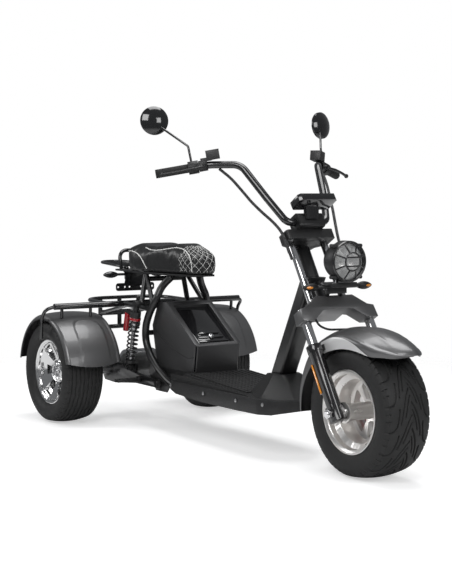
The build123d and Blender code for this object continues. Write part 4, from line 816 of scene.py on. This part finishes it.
for vertex in seat.data.vertices:
    x, z = vertex.co.x * 1000 - shiftX, vertex.co.z * 1000
    press = 0.0
    if x > quilt["behind"] and z > quilt["low"]:
        turn, rise = quiltAngles(vertex.co)
        for slant in (1, -1):
            line = (turn + slant * quilt["slant"] * rise) / quilt["pitch"]
            near = max(0, 1 - abs(line - round(line)) * quilt["pitch"] / quilt["half"])
            press = max(press, near ** 1.5 * quilt["depth"])
        press *= min(1, (x - quilt["behind"]) / 8)
    vertex.co -= vertex.normal * press / 1000
seatTop = settle(seat, "saddleCover", "chassis", "saddleLeather", angle=80, outward=False)
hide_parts("seat")
print("saddle is made", len(seatTop.data.polygons))


def onSeat(x, z, side):  # the place on the saddle behind a point of the side plane, seen from the camera
    start = at(cameraSet["place"][0], side * abs(cameraSet["place"][1]), cameraSet["place"][2])
    way = (at(x, side * 128, z) - start).normalized()
    hit, place, normal, index = seatTop.ray_cast(start, way)
    return place + normal * 0.0008 if hit else None


pipings = [  # places (x, z) on the side plane, along the nose and along the back
    [(-1389, 776), (-1350, 768), (-1310, 767), (-1250, 772), (-1183, 780), (-1130, 785), (-1090, 783),
     (-1053, 774), (-1025, 755), (-1013, 735), (-1007, 710), (-1005, 683)],
    [(-1590, 750), (-1560, 755), (-1520, 757), (-1490, 754), (-1466, 748), (-1435, 733), (-1412, 713),
     (-1395, 696), (-1377, 682)],
]
cordSizes = {"piping": 0.0021, "stitch": 0.0007}
cords = []
for places in pipings:
    for side in (-1, 1):
        fine = []
        for (x0, z0), (x1, z1) in zip(places[:-1], places[1:]):
            fine += [(x0 + (x1 - x0) * k / 4, z0 + (z1 - z0) * k / 4) for k in range(4)]
        spots = [spot for spot in (onSeat(x, z, side) for x, z in fine) if spot]
        if len(spots) > 3:
            cords.append(tube(spots, cordSizes["piping"], resolution=3, around=3))
# stitches of the diamonds on the nose
centre = at(quilt["centre"][0], 0, quilt["centre"][1])
for slant in (1, -1):
    for k in range(-9, 10):
        run = []
        for rise in range(-6, 78, 3):
            turn = k * quilt["pitch"] - slant * quilt["slant"] * rise
            around, up = math.radians(turn), math.radians(rise)
            way = Vector((math.cos(around) * math.cos(up), math.sin(around) * math.cos(up), math.sin(up)))
            hit, place, normal, index = seatTop.ray_cast(centre, way)
            inside = hit and place.x * 1000 - shiftX > quilt["behind"] and place.z * 1000 > quilt["low"]
            if inside and abs(turn) < 140:
                run.append(place + way * 0.0004)
            elif len(run) > 3:
                cords.append(tube(run, cordSizes["stitch"], resolution=2, around=1))
                run = []
        if len(run) > 3:
            cords.append(tube(run, cordSizes["stitch"], resolution=2, around=1))
settle(joined(cords), "saddlePiping", "chassis", "pipingCord", angle=60)
print("piping is laid")


# Shock absorbers: open coils round a slim body and a red collar at the top
shockLow, shockTop = Vector((-1460, 172, 252)), Vector((-1395, 172, 532))
shockLength = (shockTop - shockLow).length
shockTurn = (shockTop - shockLow).normalized().to_track_quat("Z", "Y").to_matrix()


def shockAt(x, y, s):  # s along the damper from its lower eye
    spot = shockLow + shockTurn @ Vector((x, y, s))
    return at(*spot)


def ringStack(profile, steps=32):  # rings of (radius, s) about the damper's line
    fresh()
    bpy.ops.mesh.primitive_cylinder_add(vertices=steps, radius=1, depth=1, end_fill_type="NGON")
    piece = bpy.context.object
    bpy.ops.object.mode_set(mode="EDIT")
    mesh = bmesh.from_edit_mesh(piece.data)
    bmesh.ops.delete(mesh, geom=list(mesh.verts), context="VERTS")
    turns = [k * math.tau / steps for k in range(steps)]
    rings = []
    for radius, s in profile:
        spots = [shockAt(radius * math.cos(turn), radius * math.sin(turn), s) for turn in turns]
        rings.append([mesh.verts.new(spot) for spot in spots])
    for low, high in zip(rings[:-1], rings[1:]):
        for k in range(steps):
            mesh.faces.new((low[k], low[(k + 1) % steps], high[(k + 1) % steps], high[k]))
    mesh.faces.new(rings[0])
    mesh.faces.new(list(reversed(rings[-1])))
    bmesh.update_edit_mesh(piece.data)
    bpy.ops.object.mode_set(mode="OBJECT")
    return piece


coil = {"from": 34.0, "to": shockLength - 66.0, "turns": 9.5, "radius": 22.0, "wire": 3.4}
path = []
for k in range(int(coil["turns"] * 20) + 1):
    turn = k / 20
    s = coil["from"] + 3 + (coil["to"] - coil["from"] - 6) * turn / coil["turns"]
    around = turn * math.tau
    path.append(shockAt(coil["radius"] * math.cos(around), coil["radius"] * math.sin(around), s))
springPiece = tube(path, coil["wire"] / 1000, resolution=1, around=3)
springPiece = settle(springPiece, "coilRight", "chassis", "glossBlack", angle=60)
rodRings = [(9, 24), (9, coil["to"] - 60), (15, coil["to"] - 58), (15, coil["to"])]
rodPiece = ringStack(rodRings)
settle(rodPiece, "damperRodRight", "chassis", "satinSteel", angle=40)
collarRings = [(16, -6), (25.2, -6), (25.8, -4), (25.8, 3), (24.5, 5), (16, 5)]
collar = ringStack([(radius, coil["to"] + s) for radius, s in collarRings])
settle(collar, "collarRight", "chassis", "redPaint", angle=40)
for piece in (springPiece, rodPiece, collar):
    other = mirroredY(piece)
    other.name = piece.name.replace("Right", "Left")
    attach(other, "chassis")
    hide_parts("shock_springs")
    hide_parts("shock_springs")
print("shock absorbers are made")

# Headlight: a bright reflector and bulb behind the lens, a bezel round it
lampCentre = at(-140, 0, 768)


def lampRings(profile, steps, name, finish):  # rings of (forward, radius) about the lamp's axis
    fresh()
    bpy.ops.mesh.primitive_circle_add(vertices=len(profile), fill_type="NOTHING")
    piece = bpy.context.object
    for vertex, (forward, radius) in zip(piece.data.vertices, profile):
        vertex.co = lampCentre + Vector((forward / 1000, 0, max(radius, 0.01) / 1000))
    bpy.ops.object.mode_set(mode="EDIT")
    bpy.ops.mesh.select_all(action="SELECT")
    bpy.ops.mesh.spin(steps=steps, angle=math.tau, center=lampCentre, axis=(1, 0, 0))
    bpy.ops.mesh.select_all(action="SELECT")
    bpy.ops.mesh.remove_doubles(threshold=0.00003)
    bpy.ops.object.mode_set(mode="OBJECT")
    return settle(piece, name, "steering", finish, angle=40)


bowlCurve = [(-2, 65), (-16, 58), (-30, 48), (-42, 34), (-49, 18), (-52, 0)]
bowlBack = [(forward - 2, max(0, radius - 0.5)) for forward, radius in reversed(bowlCurve)]
bulbCurve = [(-50, 0), (-50, 9), (-30, 9), (-26, 13), (-14, 13), (-9, 9), (-9, 0)]
bezelCurve = [(22.3, 76), (25, 75), (26, 71), (25, 67.5), (22.3, 67.2)]
lampRings(bowlCurve + bowlBack, 48, "lampReflector", "polishedAlloy")
lampRings(bulbCurve, 24, "lampBulb", "bulbGlass")
lampRings(bezelCurve, 64, "lampBezel", "glossBlack")
print("headlight is fitted out")

# Indicators: a thin amber lens on the front of each black body
lensSet = {"centre": (-175.5, 126, 674), "half": (4.6, 22, 6.2)}
lenses = []
for side in (-1, 1):
    fresh()
    bpy.ops.mesh.primitive_uv_sphere_add(segments=24, ring_count=12, radius=1)
    lens = bpy.context.object
    for vertex in lens.data.vertices:
        x, y, z = [lensSet["centre"][k] + vertex.co[k] * lensSet["half"][k] for k in range(3)]
        vertex.co = at(x, side * y, z)
    lenses.append(lens)
settle(joined(lenses), "indicatorLenses", "steering", "amberLens", angle=60)

# Screws and nuts
screwSizes = {  # radius and height in metres
    "skirt": (0.0075, 0.003), "axle": (0.013, 0.010), "clamp": (0.0065, 0.006), "hub": (0.0085, 0.009),
    "lock": (0.011, 0.004),
}
skirtScrews = {"places": ((-1102, 213), (-844, 209), (-605, 211), (-420, 218)), "y": 173.4}
screws = []
for side in (-1, 1):
    for x, z in skirtScrews["places"]:
        place = at(x, side * skirtScrews["y"], z)
        screws.append(screwHead(place, Vector((0, side, 0)), *screwSizes["skirt"]))
settle(joined(screws), "skirtScrews", "chassis", "satinSteel", angle=30)
nuts = []
for side in (-1, 1):
    place = at(0, side * 180, wheels["frontZ"])
    nuts.append(screwHead(place, Vector((0, side, 0)), *screwSizes["axle"], sides=20, socket=False))
settle(joined(nuts), "axleNuts", "steering", "tubeChrome", angle=30)
clampBolts = []
for y in (-82, -28, 28, 82):
    clampBolts.append(screwHead(forkAt(-14, y, 735.3), forkUp, *screwSizes["clamp"]))
settle(joined(clampBolts), "clampBolts", "steering", "satinSteel", angle=30)
hubRing = {"radius": 30, "face": wheels["rearY"] + 34, "count": 5}
for side in (-1, 1):
    body = "rear_left_wheel" if side > 0 else "rear_right_wheel"
    nuts = []
    for k in range(hubRing["count"]):
        turn = k * math.tau / hubRing["count"]
        x = wheels["rearX"] + hubRing["radius"] * math.cos(turn)
        z = wheels["rearZ"] + hubRing["radius"] * math.sin(turn)
        place = at(x, side * hubRing["face"], z)
        nuts.append(screwHead(place, Vector((0, side, 0)), *screwSizes["hub"], socket=False))
    name = "hubNuts" + ("Left" if side > 0 else "Right")
    settle(joined(nuts), name, body, "tubeChrome", angle=30)
print("screws and nuts are set")

# Battery box: a fold line on each side, and the lock
folds = []
foldLine = [(-1338, 424), (-1279, 384), (-1160, 344), (-1052, 318), (-1018, 333)]
for side in (-1, 1):
    folds.append(tube([at(x, side * 112.4, z) for x, z in foldLine], 0.0012, resolution=3, around=2))
settle(joined(folds), "boxFolds", "chassis", "blackPlastic", angle=60)
lock = screwHead(at(-1062, 0, 414), Vector((0.57, 0, 0.82)), *screwSizes["lock"], sides=24)
settle(lock, "hatchLock", "hatch", "tubeChrome", angle=30)
print("battery box is trimmed")

# CAD pieces that keep their shape get soft edges and a finish
dressed = {
    "front_rim": "polishedAlloy", "rear_rim_left": "wheelChrome", "rear_rim_right": "wheelChrome",
    "fork_sliders": "glossBlack", "fork_tubes": "tubeChrome", "front_axle": "tubeChrome",
    "fork_lower_yoke": "metallicGrey", "fork_top_clamp": "castBlack", "handlebar_clamp": "castBlack",
    "handlebar": "glossBlack", "grips": "gripRubber", "switch_clusters": "blackPlastic",
    "brake_controls": "castBlack", "mirrors": "glossPlastic", "mirror_glasses": "mirrorGlass",
    "display": "glossPlastic", "headlight_bowl": "darkGreyPlastic", "headlight_lens": "clearLens",
    "headlight_guard": "glossBlack", "lamp_bracket": "frameBlack", "front_indicators": "blackPlastic",
    "fork_reflectors": "amberLens", "front_caliper": "redPaint", "loom_right": "braidedSleeve",
    "loom_left": "braidedSleeve", "brake_hose": "blackPlastic", "main_frame": "frameBlack",
    "neck": "frameBlack", "deck_floor": "blackPlastic", "deck_mat": "matRubber",
    "deck_skirt": "darkGreyPlastic", "toe_cover": "blackPlastic", "battery_box": "boxGrey",
    "battery_hatch": "glossPlastic", "battery": "batteryCase", "seat_pan": "blackPlastic",
    "tail_rack": "glossBlack", "plate_bracket": "frameBlack", "rear_lamps": "glossPlastic",
    "rear_rack": "glossBlack", "swing_arm": "frameBlack", "rear_axle": "satinSteel", "motor": "castSilver",
    "footpegs": "castBlack", "shock_dampers": "castBlack", "shock_reservoirs": "redPaint",
}
for node, finish in dressed.items():
    smoothCopy(node, finish)
print("CAD pieces are dressed")
